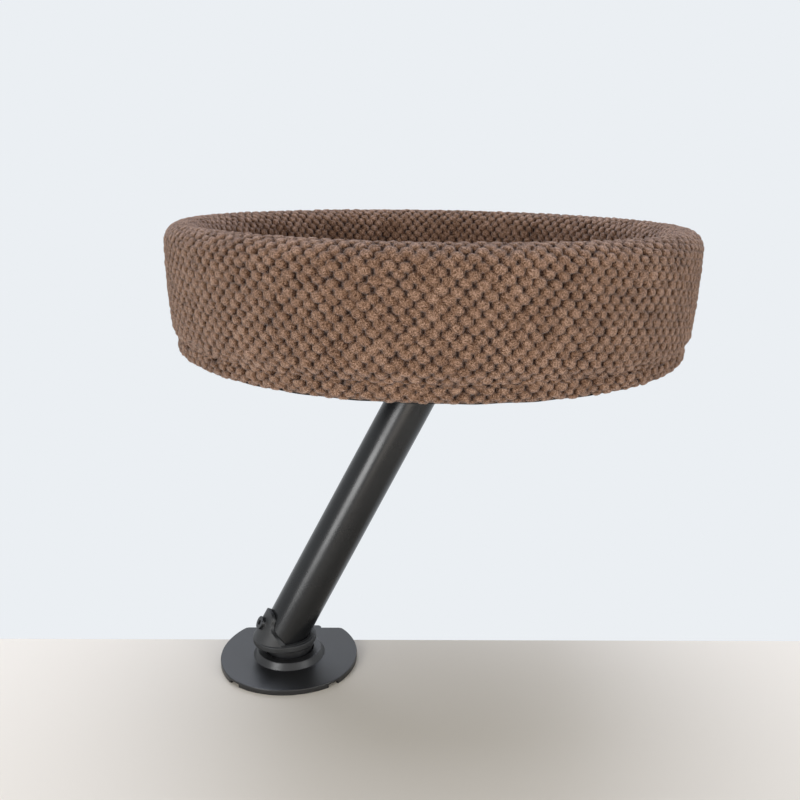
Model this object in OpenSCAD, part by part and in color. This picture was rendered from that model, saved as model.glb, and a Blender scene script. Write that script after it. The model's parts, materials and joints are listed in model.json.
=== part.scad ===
// Desk-mounted cat bed: a screw clamp grips the desk edge, a leaning pole turns on the clamp,
// and a round padded bed turns on the pole. The origin is on the desk top, under the pole's swivel.

/* [Pole] */
// Outer diameter of the tube
pole_d = 38; // [34:0.5:44]
// Wall of the tube
pole_wall = 1.5; // [1.2:0.1:2]
// Lean of the pole from upright, in degrees
pole_lean = 28.7; // [20:0.1:34]
// Height between the two points where the pole crosses the swivel axes
pole_rise = 215.9; // [170:0.1:300]
// Direction in which the pole leans at rest, in degrees
pole_turn = 15.2; // [0:0.5:45]

/* [Swivel castings] */
// Radius of the neck that turns on the bearing washer
neck_r = 20; // [18:0.5:22]
// Height of the neck under the flange
neck_h = 2.5; // [2:0.1:5]
// Half length of the flange along the lean
flange_r = 26.4; // [25.5:0.1:30]
// Half width of the flange as a part of its half length
flange_width_share = 0.91; // [0.88:0.01:1]
// Thickness of the flange
flange_t = 4.8; // [3:0.1:6]
// Shift of the flange towards the heel
flange_shift = 3.7; // [2:0.1:5]
// Height of the pole's crossing point above the flange's underside
cross_h = 12.5; // [11:0.1:15]
// Wall of the socket round the tube
socket_wall = 3.3; // [2.5:0.1:4]
// Height of the socket's lip above the flange's underside
lip_h = 5.2; // [5:0.1:7]
// Floor under the tube, above the flange's underside
socket_floor = 1.7; // [1.5:0.1:3]
// Half width of the heel lug
lug_half = 9.7; // [9:0.1:12]
// Reach of the lug along the pole, past the crossing point
lug_top = 6.6; // [5:0.1:12]
// Turn of the lug about the pole, in degrees
lug_turn = 6.5; // [0:0.5:12]
// Radius of the lug's upper corners
lug_round = 6.5; // [4:0.5:8]
// Radius where the lug flares into the lip
lug_flare = 9; // [5:0.5:9]
// Length of the spigot inside the tube, past the crossing point
spigot_len = 35; // [25:1:60]
// Wall of the spigot
spigot_wall = 4.6; // [3:0.1:5]

/* [Base cover] */
// Diameter of the moulded cover on the desk
cover_d = 114.3; // [112:0.1:130]
// Thickness of the cover's skin
cover_skin = 1.3; // [1:0.1:2]
// Width of the cover's rim
cover_rim = 2; // [1.5:0.1:3]
// Distance from the swivel axis to the straight rear edge
cover_back = 40.5; // [40:0.5:46]
// Offset of the four flatter arcs of the cover's outline
cover_off = 6.9; // [4:0.1:10]
// Amount that the corners between those arcs stand past the cover's radius
cover_swell = 1.5; // [1:0.1:2]
// Radius of the two rear corners
rear_round = 8; // [4:0.5:12]
// Height of the collar above the cover's skin
collar_h = 5.3; // [4:0.1:8]
// Radius of the collar at its foot
collar_foot_r = 29.8; // [28:0.1:34]
// Radius of the collar at its top edge
collar_top_r = 26.5; // [23:0.1:27.5]
// Height of the hub above the collar
hub_rise = 2.4; // [0.5:0.1:4]
// Width of the two lifting notches in the rim
notch_w = 9.5; // [3:0.1:12]

/* [Clamp frame] */
// Thickness of the steel sheet
sheet_t = 2.5; // [2:0.1:3.5]
// Width of the folded strap
strap_w = 44; // [40:1:50]
// Distance from the swivel axis to the strap's outer face
spine_back = 43; // [42.5:0.5:50]
// Depth from the desk top to the lower jaw
jaw_depth = 75; // [65:1:110]
// Depth of the two cheeks that meet the desk's edge
cheek_depth = 12.1; // [8:0.1:16]
// Thickness of the foam pad under the frame
desk_pad_t = 1; // [1:0.1:2]
// Radius of the turned hub that carries the swivel
hub_r = 19.4; // [18:0.1:20]

/* [Clamp screw] */
// Desk thickness at which the clamp stands at rest
desk_t = 25; // [15:1:40]
// Diameter of the spindle
spindle_d = 10; // [8:0.5:12]
// Length of the spindle below the pressure pad
spindle_len = 70; // [66:1:110]
// Diameter of the pressure pad
pressure_d = 41; // [30:1:50]
// Diameter of the star knob across its lobes
knob_d = 48; // [36:1:60]
// Height of the star knob
knob_h = 20; // [16:1:30]
// Number of lobes on the knob
knob_lobes = 6; // [4:1:8]

/* [Bed base] */
// Diameter of the plywood board
board_d = 380; // [340:1:420]
// Thickness of the plywood board
board_t = 11; // [9:0.5:15]
// Diameter of the steel plate under the board
plate_d = 160; // [140:1:200]
// Thickness of the steel plate
plate_t = 3; // [2:0.5:5]
// Pitch circle diameter of the plate's screws
plate_pcd = 130; // [110:1:132]
// Thickness of the dust cloth
cloth_t = 0.6; // [0.4:0.1:1]
// Width of the plush turned in under the board
hem_w = 26; // [15:1:40]
// Thickness of the turned plush
hem_t = 1.2; // [1:0.1:2]
// Thickness of the plush round the board's edge
band_t = 6.4; // [4:0.1:9]

/* [Bed wall] */
// Distance that the wall stands out past the board
wall_over = 12.8; // [4:0.1:18]
// Thickness of the padded wall
wall_t = 29.8; // [26:0.1:36]
// Height of the padded wall
wall_h = 84.2; // [60:0.1:120]
// Amount that the wall draws in towards its foot
wall_draw = 3.6; // [0:0.1:6]
// Thickness of the plush cover
plush_t = 3.2; // [2.5:0.1:4]
// Thickness of the stiffening hoop
hoop_t = 1.6; // [1:0.1:2]
// Height of the stiffening hoop
hoop_h = 58; // [35:1:60]

/* [Floor pad] */
// Height of the floor pad at its crown
pad_h = 30; // [22:1:45]
// Height of the floor pad at its seam
pad_seam_h = 10; // [8:1:12]
// Height of the pad's shoulder, a quarter of its radius in from the seam
pad_edge_h = 25; // [18:1:27]

/* [Fasteners] */
// Radius of the swivel bolts
pivot_r = 5; // [4:0.5:6]
// Thickness of the bearing washers
bearing_t = 3; // [2:0.5:5]
// Radius of the socket screws in the lugs
pinch_r = 3; // [2.5:0.5:4]

/* [Hidden] */

// Overrun of every cut past the face that it opens
over = 1;
// Steps in a rounded stretch of an outline
arc_steps = 8;
// Gap between flat faces that turn on each other
face_gap = 0.1;
// Gap between a shaft and the bore that it turns in
run_gap = 0.05;
// Gap between pieces that are fitted together by hand
fit_gap = 0.3;
$fn = 64;

// Rounds, gaps and drafts of the small features
collar_round = 0.8;
flange_round = 0.8;
socket_gap = 0.25;
spigot_gap = 0.25;
pole_seat_gap = 0.1;
fold_r = 1.5;
low_fold_r = 3;

// Heights from the desk upwards
sheet_z = desk_pad_t;
sheet_top = sheet_z + sheet_t;
cover_top = sheet_top + cover_skin;
hub_top = cover_top + collar_h + hub_rise;
neck_z = hub_top + bearing_t + face_gap;
flange_z = neck_z + neck_h;
floor_z = flange_z + socket_floor;
cross_z = flange_z + cross_h;
lip_z = flange_z + lip_h;

// The upper casting is the lower one turned half round about the middle of the pole
turn_sum = 2 * cross_z + pole_rise;
reach = pole_rise * tan(pole_lean);

// Half width of the flange, and the distance of its round ends from its middle
flange_half = flange_r * flange_width_share;
flange_slide = flange_r - flange_half;

// Tube and socket
pole_r = pole_d / 2;
pole_bore_r = pole_r - pole_wall;
socket_r = pole_r + socket_gap;
socket_out_r = socket_r + socket_wall;
spigot_r = pole_bore_r - spigot_gap;
spigot_bore_r = spigot_r - spigot_wall;

// Socket screw and the flat on the lug that it bears on
pinch_head_r = 5.3;
pinch_head_h = 2.8;
pinch_len = 12;
pinch_key = 4;
screw_along = -5.8;
lug_flat_t = 0.1;
lug_flat_r = 5.7;

// Slant of the lug's sides, dips of its flares and of its foot, in degrees, and the round between them
lug_slant = 8;
lug_dip = 20;
lug_foot_dip = 50;
lug_foot_round = 6;

// Swivel nut, its washer and its pocket
nut_flats = 17;
nut_h = 7.5;
nut_collar_h = 2.5;
nut_collar_d = 14.6;
washer_r = 10;
washer_t = 2;
washer_lift = 3.3;
pocket_gap = 0.6;
bolt_proud = 1;
washer_z = flange_z + washer_lift;
nut_z = washer_z + washer_t;
nut_top = nut_z + nut_h + nut_collar_h;
pocket_r = washer_r + pocket_gap;

// Countersunk swivel bolt
bolt_sink = 0.2;
bolt_head_r = 10;
bolt_head_h = bolt_head_r - pivot_r;
bolt_head_z = sheet_z + bolt_sink;
bolt_key = 6;
bolt_key_depth = 3;

// Cover
cover_r = cover_d / 2;
cover_lift = 0.3;
cover_edge = 0.8;
hub_gap = 1.1;
collar_bore_r = hub_r + hub_gap;
notch_turns = [-132.5, -47.5];
tab_half = 24;
tab_wall = 1.3;
tab_back = spine_back + fit_gap + tab_wall;
tab_round = 3.5;
tab_drop = 3;
cover_screw_r = 2;
cover_screw_turns = [30, 150, 270];
cover_screw_at = 44;
cover_screw_head_r = 3.6;
cover_screw_len = 3;
cover_screw_cone = cover_screw_head_r - cover_screw_r;

// Clamp frame
frame_gap = 0.25;
frame_r = cover_r - cover_rim - frame_gap;
frame_back = cover_back - cover_rim - fit_gap;
strap_front = 15;
jaw_front = 15;
cheek_front = spine_back - sheet_t - cheek_depth;
cheek_low_back = 13;
cheek_low_front = 6;
cheek_cut = 6;
cheek_relief = 1.5;
hub_seat_r = 14;
desk_pad_in = 0.6;

// Welded nut of the clamp
spindle_r = spindle_d / 2;
jaw_hole_r = spindle_r + fit_gap;
nut_out_r = 9.5;
nut_len = 14;
nut_rim = 2;
nut_rim_r = 12;

// Pressure pad and the ball that carries it
liner_t = 1.5;
pressure_t = 3;
pressure_r = pressure_d / 2;
pressure_boss_r = 9;
pressure_boss_h = 8.5;
pressure_lip = 1.2;
ball_r = 5.2;
ball_gap = 0.1;
ball_rise = 1;
pressure_z = -desk_t - liner_t - pressure_t;
ball_z = pressure_z - ball_r + ball_rise;

// Spindle, knob and pin
spindle_neck_r = 3.6;
spindle_neck_h = 4;
spindle_z = pressure_z - pressure_boss_h - spindle_neck_h;
spindle_end = spindle_z - spindle_len;
knob_hub_r = 10;
knob_hub_h = 4;
knob_lobe_r = 8;
knob_dish = 3;
knob_web = 6.5;
pin_r = 2;
pin_len = 18;

// Bed base
bed_bearing_z = turn_sum - neck_z;
plate_boss_z = bed_bearing_z + bearing_t + face_gap;
plate_boss_h = 0.8;
plate_z = plate_boss_z + plate_boss_h;
cloth_z = plate_z + plate_t;
board_z = cloth_z + cloth_t;
board_top = board_z + board_t;
board_r = board_d / 2;
plate_r = plate_d / 2;
band_r = board_r + band_t;
cloth_in = 5;
cloth_r = band_r - cloth_in;
cloth_step = 3;
bed_screw_r = 3;
bed_screw_head_r = 5.5;
bed_screw_head_h = 3;
bed_screw_len = 12;
tee_barrel_r = 4;
tee_flange_r = 9;
tee_flange_t = 1.5;
tee_len = 8;
bolt_recess_r = 13;
bolt_hex = 16;
bolt_hex_h = 6.4;
lighten_r = 12;
lighten_pcd = 90;

// Bed wall
wall_r = board_r + wall_over;
wall_z = board_top + fit_gap;
wall_top = wall_z + wall_h;
wall_corner = 6;
seam_gap = 0.3;
hoop_low = 9;

// Floor pad
pad_gap = 2;
pad_r = wall_r - wall_t - pad_gap;
pad_z = board_top + fit_gap;
pad_corner = 6;

// Part of its half thickness that a soft edge is rounded by
belly_share = 0.86;
// Part of the pad's radius that its shoulder lies at
pad_shoulder_share = 0.75;

// Points of an arc about a centre, from one angle to another
function arc(at, r, from, to, steps = arc_steps) =
    [for (i = [0 : steps]) let (a = from + (to - from) * i / steps) [at[0] + r * cos(a), at[1] + r * sin(a)]];

// An outline's points in reverse order, on the other side of the upright axis
function mirrored(points) = [for (i = [len(points) - 1 : -1 : 0]) [-points[i][0], points[i][1]]];

// Frames that the moving pieces are drawn in
module in_lean() { rotate([0, 0, pole_turn]) children(); }
module in_pole() { translate([0, 0, cross_z]) rotate([0, pole_lean, 0]) children(); }
module in_lug() { in_pole() rotate([0, 0, lug_turn]) children(); }
module at_head() { translate([reach, 0, turn_sum]) rotate([0, 180, 0]) children(); }
module at_bed() { in_lean() translate([reach, 0, 0]) children(); }

// Space above a level, wide enough for every piece round the pole
module above(level) {
    side = 4 * flange_r;
    translate([-side / 2, -side / 2, level]) cube([side, side, side]);
}

module ring(outer, inner, h) {
    difference() {
        cylinder(r = outer, h = h);
        translate([0, 0, -over]) cylinder(r = inner, h = h + 2 * over);
    }
}

module hex(flats, h) { cylinder(d = flats / cos(30), h = h, $fn = 6); }

// Outline of the heel lug, across the pole and along it: rounded top, slanted sides and flared foot
function lug_outline() =
    let (top = [lug_half - lug_round, lug_top - lug_round],
         flare = top + (lug_round + lug_flare) * [cos(lug_slant), sin(lug_slant)],
         foot = flare - (lug_flare + lug_foot_round) * [sin(lug_dip), cos(lug_dip)],
         right = concat(arc(top, lug_round, 90, lug_slant),
             arc(flare, lug_flare, 180 + lug_slant, 270 - lug_dip),
             arc(foot, lug_foot_round, 90 - lug_dip, 90 - lug_foot_dip),
             [foot + 3 * lug_flare * [cos(lug_foot_dip), -sin(lug_foot_dip)]
                  + lug_foot_round * [sin(lug_foot_dip), cos(lug_foot_dip)]],
             [[0, -3 * flange_r]]))
    concat(right, mirrored(right));

// Plan of the flange: round ends and straight sides along the lean
module flange_plan() {
    for (x = [-flange_slide, flange_slide]) translate([x - flange_shift, 0]) circle(r = flange_half);
    translate([-flange_slide - flange_shift, -flange_half]) square([2 * flange_slide, 2 * flange_half]);
}

// Flange on that plan, with its edges rounded
module flange_body() {
    side = concat(arc([flange_half - flange_round, flange_round], flange_round, -90, 0),
        arc([flange_half - flange_round, flange_t - flange_round], flange_round, 0, 90));
    translate([-flange_shift, 0, flange_z]) {
        for (x = [-flange_slide, flange_slide]) translate([x, 0, 0])
            rotate_extrude() polygon(concat([[0, 0]], side, [[0, flange_t]]));
        translate([-flange_slide, 0, 0]) rotate([90, 0, 90]) linear_extrude(height = 2 * flange_slide)
            polygon(concat(side, mirrored(side)));
    }
}

// One casting with neck, flange, slanted socket, heel lug and hollow spigot, drawn for the foot
module swivel_casting() {
    heel_len = socket_out_r + lug_flat_t;
    difference() {
        union() {
            translate([0, 0, neck_z]) cylinder(r = neck_r, h = neck_h + over);
            flange_body();
            intersection() {
                in_pole() translate([0, 0, -2 * flange_r])
                    cylinder(r = socket_out_r, h = 2 * flange_r + lug_top);
                translate([0, 0, flange_z + flange_round])
                    linear_extrude(height = 2 * flange_r) flange_plan();
                union() {
                    difference() {
                        above(flange_z);
                        above(lip_z);
                    }
                    in_lug() rotate([90, 0, -90]) linear_extrude(height = heel_len) polygon(lug_outline());
                }
            }
            intersection() {
                in_lug() translate([-heel_len, 0, screw_along]) rotate([0, 90, 0])
                    cylinder(r = lug_flat_r, h = socket_wall);
                above(flange_z + flange_t);
            }
            intersection() {
                in_pole() translate([0, 0, -flange_r]) cylinder(r = spigot_r, h = flange_r + spigot_len);
                above(flange_z + flange_round);
            }
        }
        difference() {
            intersection() {
                in_pole() translate([0, 0, -flange_r]) cylinder(r = socket_r, h = flange_r + pole_rise);
                above(floor_z);
            }
            in_pole() translate([0, 0, -2 * flange_r]) cylinder(r = spigot_r, h = 2 * flange_r + spigot_len);
        }
        intersection() {
            in_pole() translate([0, 0, -flange_r])
                cylinder(r = spigot_bore_r, h = flange_r + spigot_len + over);
            above(washer_z);
        }
        translate([0, 0, washer_z]) cylinder(r = pocket_r, h = nut_top - washer_z + 2 * bolt_proud);
        translate([0, 0, neck_z - over]) cylinder(r = pivot_r + run_gap, h = washer_z - neck_z + 2 * over);
        in_lug() translate([-heel_len - over, 0, screw_along]) rotate([0, 90, 0])
            cylinder(r = pinch_r, h = heel_len + over);
    }
}

// Low-headed socket screw, pointing along +Z with its head below zero
module pinch_screw() {
    in_lug() translate([-socket_out_r - lug_flat_t, 0, screw_along]) rotate([0, 90, 0]) {
        difference() {
            translate([0, 0, -pinch_head_h]) cylinder(r = pinch_head_r, h = pinch_head_h);
            translate([0, 0, -pinch_head_h - over]) hex(pinch_key, pinch_head_h / 2 + over);
        }
        cylinder(r = pinch_r - run_gap, h = pinch_len);
    }
}

module washer_ring() { translate([0, 0, washer_z]) ring(washer_r, pivot_r + fit_gap, washer_t); }

// Locking nut with a round collar over its hexagon
module locking_nut() {
    translate([0, 0, nut_z]) difference() {
        union() {
            hex(nut_flats, nut_h);
            cylinder(d = nut_collar_d, h = nut_h + nut_collar_h);
        }
        translate([0, 0, -over]) cylinder(r = pivot_r + run_gap, h = nut_h + nut_collar_h + 2 * over);
    }
}

// Plan of a disc with a straight rear edge
module cut_disc(r, back) {
    difference() {
        circle(r = r);
        translate([-r, back]) square([2 * r, r]);
    }
}

// Plan of the tab that hoods the strap's fold, with rounded rear corners
module tab_plan(half, back, corner) {
    polygon(concat([[half, 0]],
        arc([half - corner, back - corner], corner, 0, 90),
        arc([corner - half, back - corner], corner, 90, 180), [[-half, 0]]));
}

// Disc of the cover's height, with its upper edge rounded
module cover_disc(r) {
    rotate_extrude() polygon(concat([[0, cover_lift], [r, cover_lift]],
        arc([r - cover_edge, cover_top - cover_edge], cover_edge, 0, 90), [[0, cover_top]]));
}

// Plan that cuts a disc's rear edge straight and rounds the two corners
module rear_plan(r, back, corner) {
    at = [sqrt(pow(r - corner, 2) - pow(back - corner, 2)), back - corner];
    turn = atan2(at[1], at[0]);
    right = concat([[2 * r, -2 * r], [2 * r, r * (1 - 2 * cos(turn)) / sin(turn)]],
        arc(at, corner, turn, 90));
    polygon(concat(right, mirrored(right)));
}

module base_cover() {
    collar_top = hub_top - hub_rise;
    collar_turn = atan2(collar_foot_r - collar_top_r, collar_h);
    collar_in = collar_round * tan((90 - collar_turn) / 2);
    recess_r = cover_r - cover_rim;
    corner_r = cover_r + cover_swell;
    color([0.13, 0.13, 0.135]) difference() {
        union() {
            intersection() {
                intersection_for(a = [0 : 90 : 270])
                    rotate([0, 0, a]) translate([-cover_off, 0, 0]) cover_disc(cover_r + cover_off);
                cover_disc(corner_r);
                linear_extrude(height = 2 * cover_top) rear_plan(corner_r, cover_back, rear_round);
            }
            translate([0, 0, -tab_drop]) linear_extrude(height = cover_top + tab_drop)
                difference() {
                    tab_plan(tab_half, tab_back, tab_round);
                    translate([-tab_half - over, -over]) square([2 * (tab_half + over), frame_back]);
                }
            rotate_extrude() polygon(concat([[0, cover_top - cover_skin / 2], [collar_foot_r, cover_top]],
                arc([collar_top_r - collar_in, collar_top - collar_round], collar_round, collar_turn, 90),
                [[0, collar_top]]));
        }
        translate([0, 0, -over]) linear_extrude(height = sheet_top + over)
            cut_disc(recess_r, cover_back - cover_rim);
        translate([0, 0, -tab_drop - over]) linear_extrude(height = sheet_top + tab_drop + over)
            difference() {
                tab_plan(strap_w / 2 + fit_gap, spine_back + fit_gap, fold_r);
                translate([-tab_half, -over]) square([2 * tab_half, cover_back / 2]);
            }
        translate([0, 0, -over]) cylinder(r = collar_bore_r, h = hub_top + 2 * over);
        for (a = notch_turns) rotate([0, 0, a]) translate([recess_r - over, -notch_w / 2, -over])
            cube([cover_rim + cover_swell + 2 * over, notch_w, sheet_top - cover_edge / 2 + over]);
        for (a = cover_screw_turns) rotate([0, 0, a]) translate([cover_screw_at, 0, 0])
            cylinder(r = cover_screw_r, h = sheet_top + cover_skin / 2);
    }
}

// Side view of the folded strap: top leg, spine and lower jaw in one thickness
function strap_side() =
    let (out = spine_back, top = sheet_top, low = -jaw_depth - sheet_t,
         fold = fold_r + sheet_t, low_fold = low_fold_r + sheet_t)
    concat([[strap_front, top]], arc([out - fold, top - fold], fold, 90, 0),
        arc([out - low_fold, low + low_fold], low_fold, 0, -90),
        [[-jaw_front, low], [-jaw_front, low + sheet_t]],
        arc([out - low_fold, low + low_fold], low_fold_r, -90, 0),
        arc([out - fold, top - fold], fold_r, 0, 90), [[strap_front, top - sheet_t]]);

// Cheek outline: relieved under the plate, down the desk's edge and the spine, then under the lower jaw
function cheek_side() =
    let (front = cheek_front, mid = spine_back - sheet_t / 2,
         high = sheet_z + sheet_t / 2, low = -jaw_depth - sheet_t / 2, under = low - cheek_low_back)
    [[front, -cheek_relief], [front + cheek_relief, -cheek_relief], [front + cheek_relief, high],
     [mid - sheet_t, high], [mid - sheet_t / 2, -sheet_t], [mid, low + low_fold_r],
     [mid - low_fold_r, under], [mid - 2 * cheek_low_back, under], [-jaw_front, low - cheek_low_front],
     [-jaw_front, low], [front - cheek_cut, low], [front, low + cheek_cut]];

module clamp_frame() {
    color([0.12, 0.12, 0.125]) difference() {
        union() {
            translate([0, 0, sheet_z]) linear_extrude(height = sheet_t) cut_disc(frame_r, frame_back);
            intersection() {
                translate([-strap_w / 2, 0, 0]) rotate([90, 0, 90]) linear_extrude(height = strap_w)
                    polygon(strap_side());
                translate([0, 0, -2 * jaw_depth]) linear_extrude(height = 3 * jaw_depth) {
                    circle(r = jaw_front);
                    translate([-strap_w / 2, 0]) square([strap_w, 2 * spine_back]);
                }
            }
            for (x = [-strap_w / 2, strap_w / 2 - sheet_t]) intersection() {
                translate([x, 0, 0]) rotate([90, 0, 90])
                    linear_extrude(height = sheet_t) polygon(cheek_side());
                translate([-strap_w, 0, -2 * jaw_depth]) cube([2 * strap_w, spine_back, 3 * jaw_depth]);
            }
        }
        translate([0, 0, sheet_z - over]) cylinder(r = hub_seat_r, h = sheet_t + 2 * over);
        translate([0, 0, -jaw_depth - sheet_t - over]) cylinder(r = jaw_hole_r, h = sheet_t + 2 * over);
        for (a = cover_screw_turns) rotate([0, 0, a]) translate([cover_screw_at, 0, sheet_z]) {
            translate([0, 0, -over]) cylinder(r = cover_screw_r + fit_gap, h = sheet_t + 2 * over);
            cylinder(r1 = cover_screw_head_r, r2 = cover_screw_r + fit_gap, h = cover_screw_cone);
        }
    }
}

// Turned hub, pressed into the frame, with the swivel bolt's countersink in its foot
module swivel_hub() {
    color([0.07, 0.07, 0.07]) difference() {
        union() {
            translate([0, 0, sheet_z]) cylinder(r = hub_seat_r, h = hub_top - sheet_z);
            translate([0, 0, sheet_top]) cylinder(r = hub_r, h = hub_top - sheet_top);
        }
        translate([0, 0, sheet_z - over]) cylinder(r = pivot_r, h = hub_top - sheet_z + 2 * over);
        translate([0, 0, bolt_head_z]) cylinder(r1 = bolt_head_r, r2 = pivot_r, h = bolt_head_h);
        translate([0, 0, sheet_z - over]) cylinder(r = bolt_head_r, h = bolt_head_z - sheet_z + over);
    }
}

module desk_pad() {
    color([0.09, 0.09, 0.09]) linear_extrude(height = desk_pad_t)
        cut_disc(frame_r - desk_pad_in, cheek_front - fit_gap);
}

module cover_screws() {
    color([0.6, 0.6, 0.61]) for (a = cover_screw_turns)
        rotate([0, 0, a]) translate([cover_screw_at, 0, sheet_z]) {
        cylinder(r1 = cover_screw_head_r, r2 = cover_screw_r, h = cover_screw_cone);
        cylinder(r = cover_screw_r - run_gap, h = cover_screw_len);
    }
}

// Countersunk socket bolt that the foot turns on
module pivot_bolt() {
    color([0.6, 0.6, 0.61]) difference() {
        union() {
            translate([0, 0, bolt_head_z]) cylinder(r1 = bolt_head_r, r2 = pivot_r, h = bolt_head_h);
            translate([0, 0, bolt_head_z]) cylinder(r = pivot_r, h = nut_top + bolt_proud - bolt_head_z);
        }
        translate([0, 0, bolt_head_z - over]) hex(bolt_key, bolt_key_depth + over);
    }
}

// Flanged nut welded under the lower jaw
module clamp_nut() {
    color([0.12, 0.12, 0.125]) translate([0, 0, -jaw_depth - sheet_t - nut_len]) difference() {
        union() {
            cylinder(r = nut_out_r, h = nut_len);
            translate([0, 0, nut_len - nut_rim]) cylinder(r = nut_rim_r, h = nut_rim);
        }
        translate([0, 0, -over]) cylinder(r = spindle_r + run_gap, h = nut_len + 2 * over);
    }
}

// Pressed plate with a ball socket crimped round the spindle's end
module pressure_pad() {
    boss_low = pressure_z - pressure_boss_h + ball_r;
    boss_end = pressure_z - pressure_boss_h + pressure_lip;
    color([0.14, 0.14, 0.145]) difference() {
        rotate_extrude() polygon(concat(
            [[0, pressure_z + pressure_t], [pressure_r - pressure_lip, pressure_z + pressure_t]],
            arc([pressure_r - pressure_lip, pressure_z + pressure_t - pressure_lip], pressure_lip, 90, 0),
            [[pressure_r, pressure_z], [pressure_boss_r + pressure_lip, pressure_z]],
            arc([pressure_boss_r + pressure_lip, pressure_z - pressure_lip], pressure_lip, 90, 180),
            [[pressure_boss_r, boss_low], [spindle_neck_r + 2 * pressure_lip, boss_end], [0, boss_end]]));
        translate([0, 0, ball_z]) sphere(r = ball_r + ball_gap);
        translate([0, 0, pressure_z - pressure_boss_h - over])
            cylinder(r = spindle_neck_r + fit_gap, h = ball_z - pressure_z + pressure_boss_h + over);
    }
}

module pressure_liner() {
    color([0.07, 0.07, 0.07]) translate([0, 0, -desk_t - liner_t])
        cylinder(r = pressure_r - pressure_lip, h = liner_t);
}

// Spindle with a ball end above and a cross hole for the knob's pin
module clamp_screw() {
    color([0.62, 0.62, 0.63]) difference() {
        union() {
            translate([0, 0, ball_z]) sphere(r = ball_r);
            translate([0, 0, spindle_z - over]) cylinder(r = spindle_neck_r, h = ball_z - spindle_z + over);
            translate([0, 0, spindle_end]) cylinder(r = spindle_r, h = spindle_len);
            translate([0, 0, spindle_end - knob_h]) cylinder(r = spindle_r, h = knob_h + over);
        }
        translate([0, 0, spindle_end - knob_hub_h]) rotate([0, 90, 0])
            cylinder(r = pin_r, h = pin_len + 2 * over, center = true);
    }
}

// Moulded star knob with a dished underside and a hub above
module clamp_knob() {
    lobe_at = knob_d / 2 - knob_lobe_r;
    low = spindle_end - knob_h;
    grip_h = knob_h - 2 * knob_hub_h;
    edge = knob_dish;
    color([0.1, 0.1, 0.1]) difference() {
        union() {
            intersection() {
                translate([0, 0, low]) linear_extrude(height = grip_h) {
                    circle(r = lobe_at - knob_lobe_r / 4);
                    for (i = [0 : knob_lobes - 1]) rotate([0, 0, i * 360 / knob_lobes]) {
                        translate([lobe_at, 0]) circle(r = knob_lobe_r);
                        translate([0, -knob_web]) square([lobe_at, 2 * knob_web]);
                    }
                }
                rotate_extrude() polygon(concat([[0, low]],
                    arc([knob_d / 2 - edge, low + edge], edge, -90, 0),
                    arc([knob_d / 2 - edge, low + grip_h - edge], edge, 0, 90),
                    [[0, low + grip_h]]));
            }
            translate([0, 0, low]) cylinder(r = knob_hub_r, h = knob_h);
        }
        translate([0, 0, low - over]) cylinder(r = spindle_r + run_gap, h = knob_h + 2 * over);
        translate([0, 0, low - over]) cylinder(r = knob_hub_r - knob_dish / 2, h = knob_dish + over);
        translate([0, 0, spindle_end - knob_hub_h]) rotate([0, 90, 0])
            cylinder(r = pin_r, h = knob_d, center = true);
    }
}

module knob_pin() {
    color([0.6, 0.6, 0.61]) translate([0, 0, spindle_end - knob_hub_h]) rotate([0, 90, 0])
        cylinder(r = pin_r - run_gap, h = pin_len, center = true);
}

module base_bearing() {
    color([0.1, 0.1, 0.1]) translate([0, 0, hub_top]) ring(neck_r + fit_gap, pivot_r + fit_gap, bearing_t);
}

module swivel_foot() { color([0.13, 0.13, 0.135]) in_lean() swivel_casting(); }

module pivot_washer() { color([0.6, 0.6, 0.61]) in_lean() washer_ring(); }

module pivot_nut() { color([0.6, 0.6, 0.61]) in_lean() locking_nut(); }

module foot_screw() { color([0.08, 0.08, 0.08]) in_lean() pinch_screw(); }

// Tube cut level at both ends and drilled for the two socket screws
module pole() {
    low = floor_z + pole_seat_gap;
    tube_len = pole_rise / cos(pole_lean) + 4 * pole_d;
    color([0.1, 0.1, 0.105]) in_lean() difference() {
        intersection() {
            in_pole() translate([0, 0, -2 * pole_d]) ring(pole_r, pole_bore_r, tube_len);
            translate([-reach, -pole_d, low]) cube([3 * reach, 2 * pole_d, turn_sum - 2 * low]);
        }
        tube_hole();
        at_head() tube_hole();
    }
}

module tube_hole() {
    in_lug() translate([-socket_out_r, 0, screw_along]) rotate([0, 90, 0])
        cylinder(r = pinch_r + fit_gap, h = socket_out_r);
}

module swivel_head() { color([0.13, 0.13, 0.135]) in_lean() at_head() swivel_casting(); }

module head_screw() { color([0.08, 0.08, 0.08]) in_lean() at_head() pinch_screw(); }

module bed_nut_washer() { color([0.6, 0.6, 0.61]) in_lean() at_head() washer_ring(); }

module bed_nut() { color([0.6, 0.6, 0.61]) in_lean() at_head() locking_nut(); }

module bed_bearing() {
    color([0.1, 0.1, 0.1]) at_bed() translate([0, 0, bed_bearing_z])
        ring(neck_r + fit_gap, pivot_r + fit_gap, bearing_t);
}

// Places of the four screws of the bed plate
module at_plate_screws() {
    for (a = [45 : 90 : 315]) rotate([0, 0, a]) translate([plate_pcd / 2, 0, 0]) children();
}

module bed_plate() {
    color([0.12, 0.12, 0.125]) at_bed() difference() {
        union() {
            translate([0, 0, plate_z]) cylinder(r = plate_r, h = plate_t);
            translate([0, 0, plate_boss_z]) cylinder(r = neck_r + socket_wall, h = plate_boss_h);
        }
        translate([0, 0, plate_boss_z - over]) cylinder(r = pivot_r, h = plate_boss_h + plate_t + 2 * over);
        translate([0, 0, plate_z - over]) at_plate_screws()
            cylinder(r = bed_screw_r + fit_gap, h = plate_t + 2 * over);
        for (a = [0 : 90 : 270]) rotate([0, 0, a]) translate([lighten_pcd / 2, 0, plate_z - over])
            cylinder(r = lighten_r, h = plate_t + 2 * over);
    }
}

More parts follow.
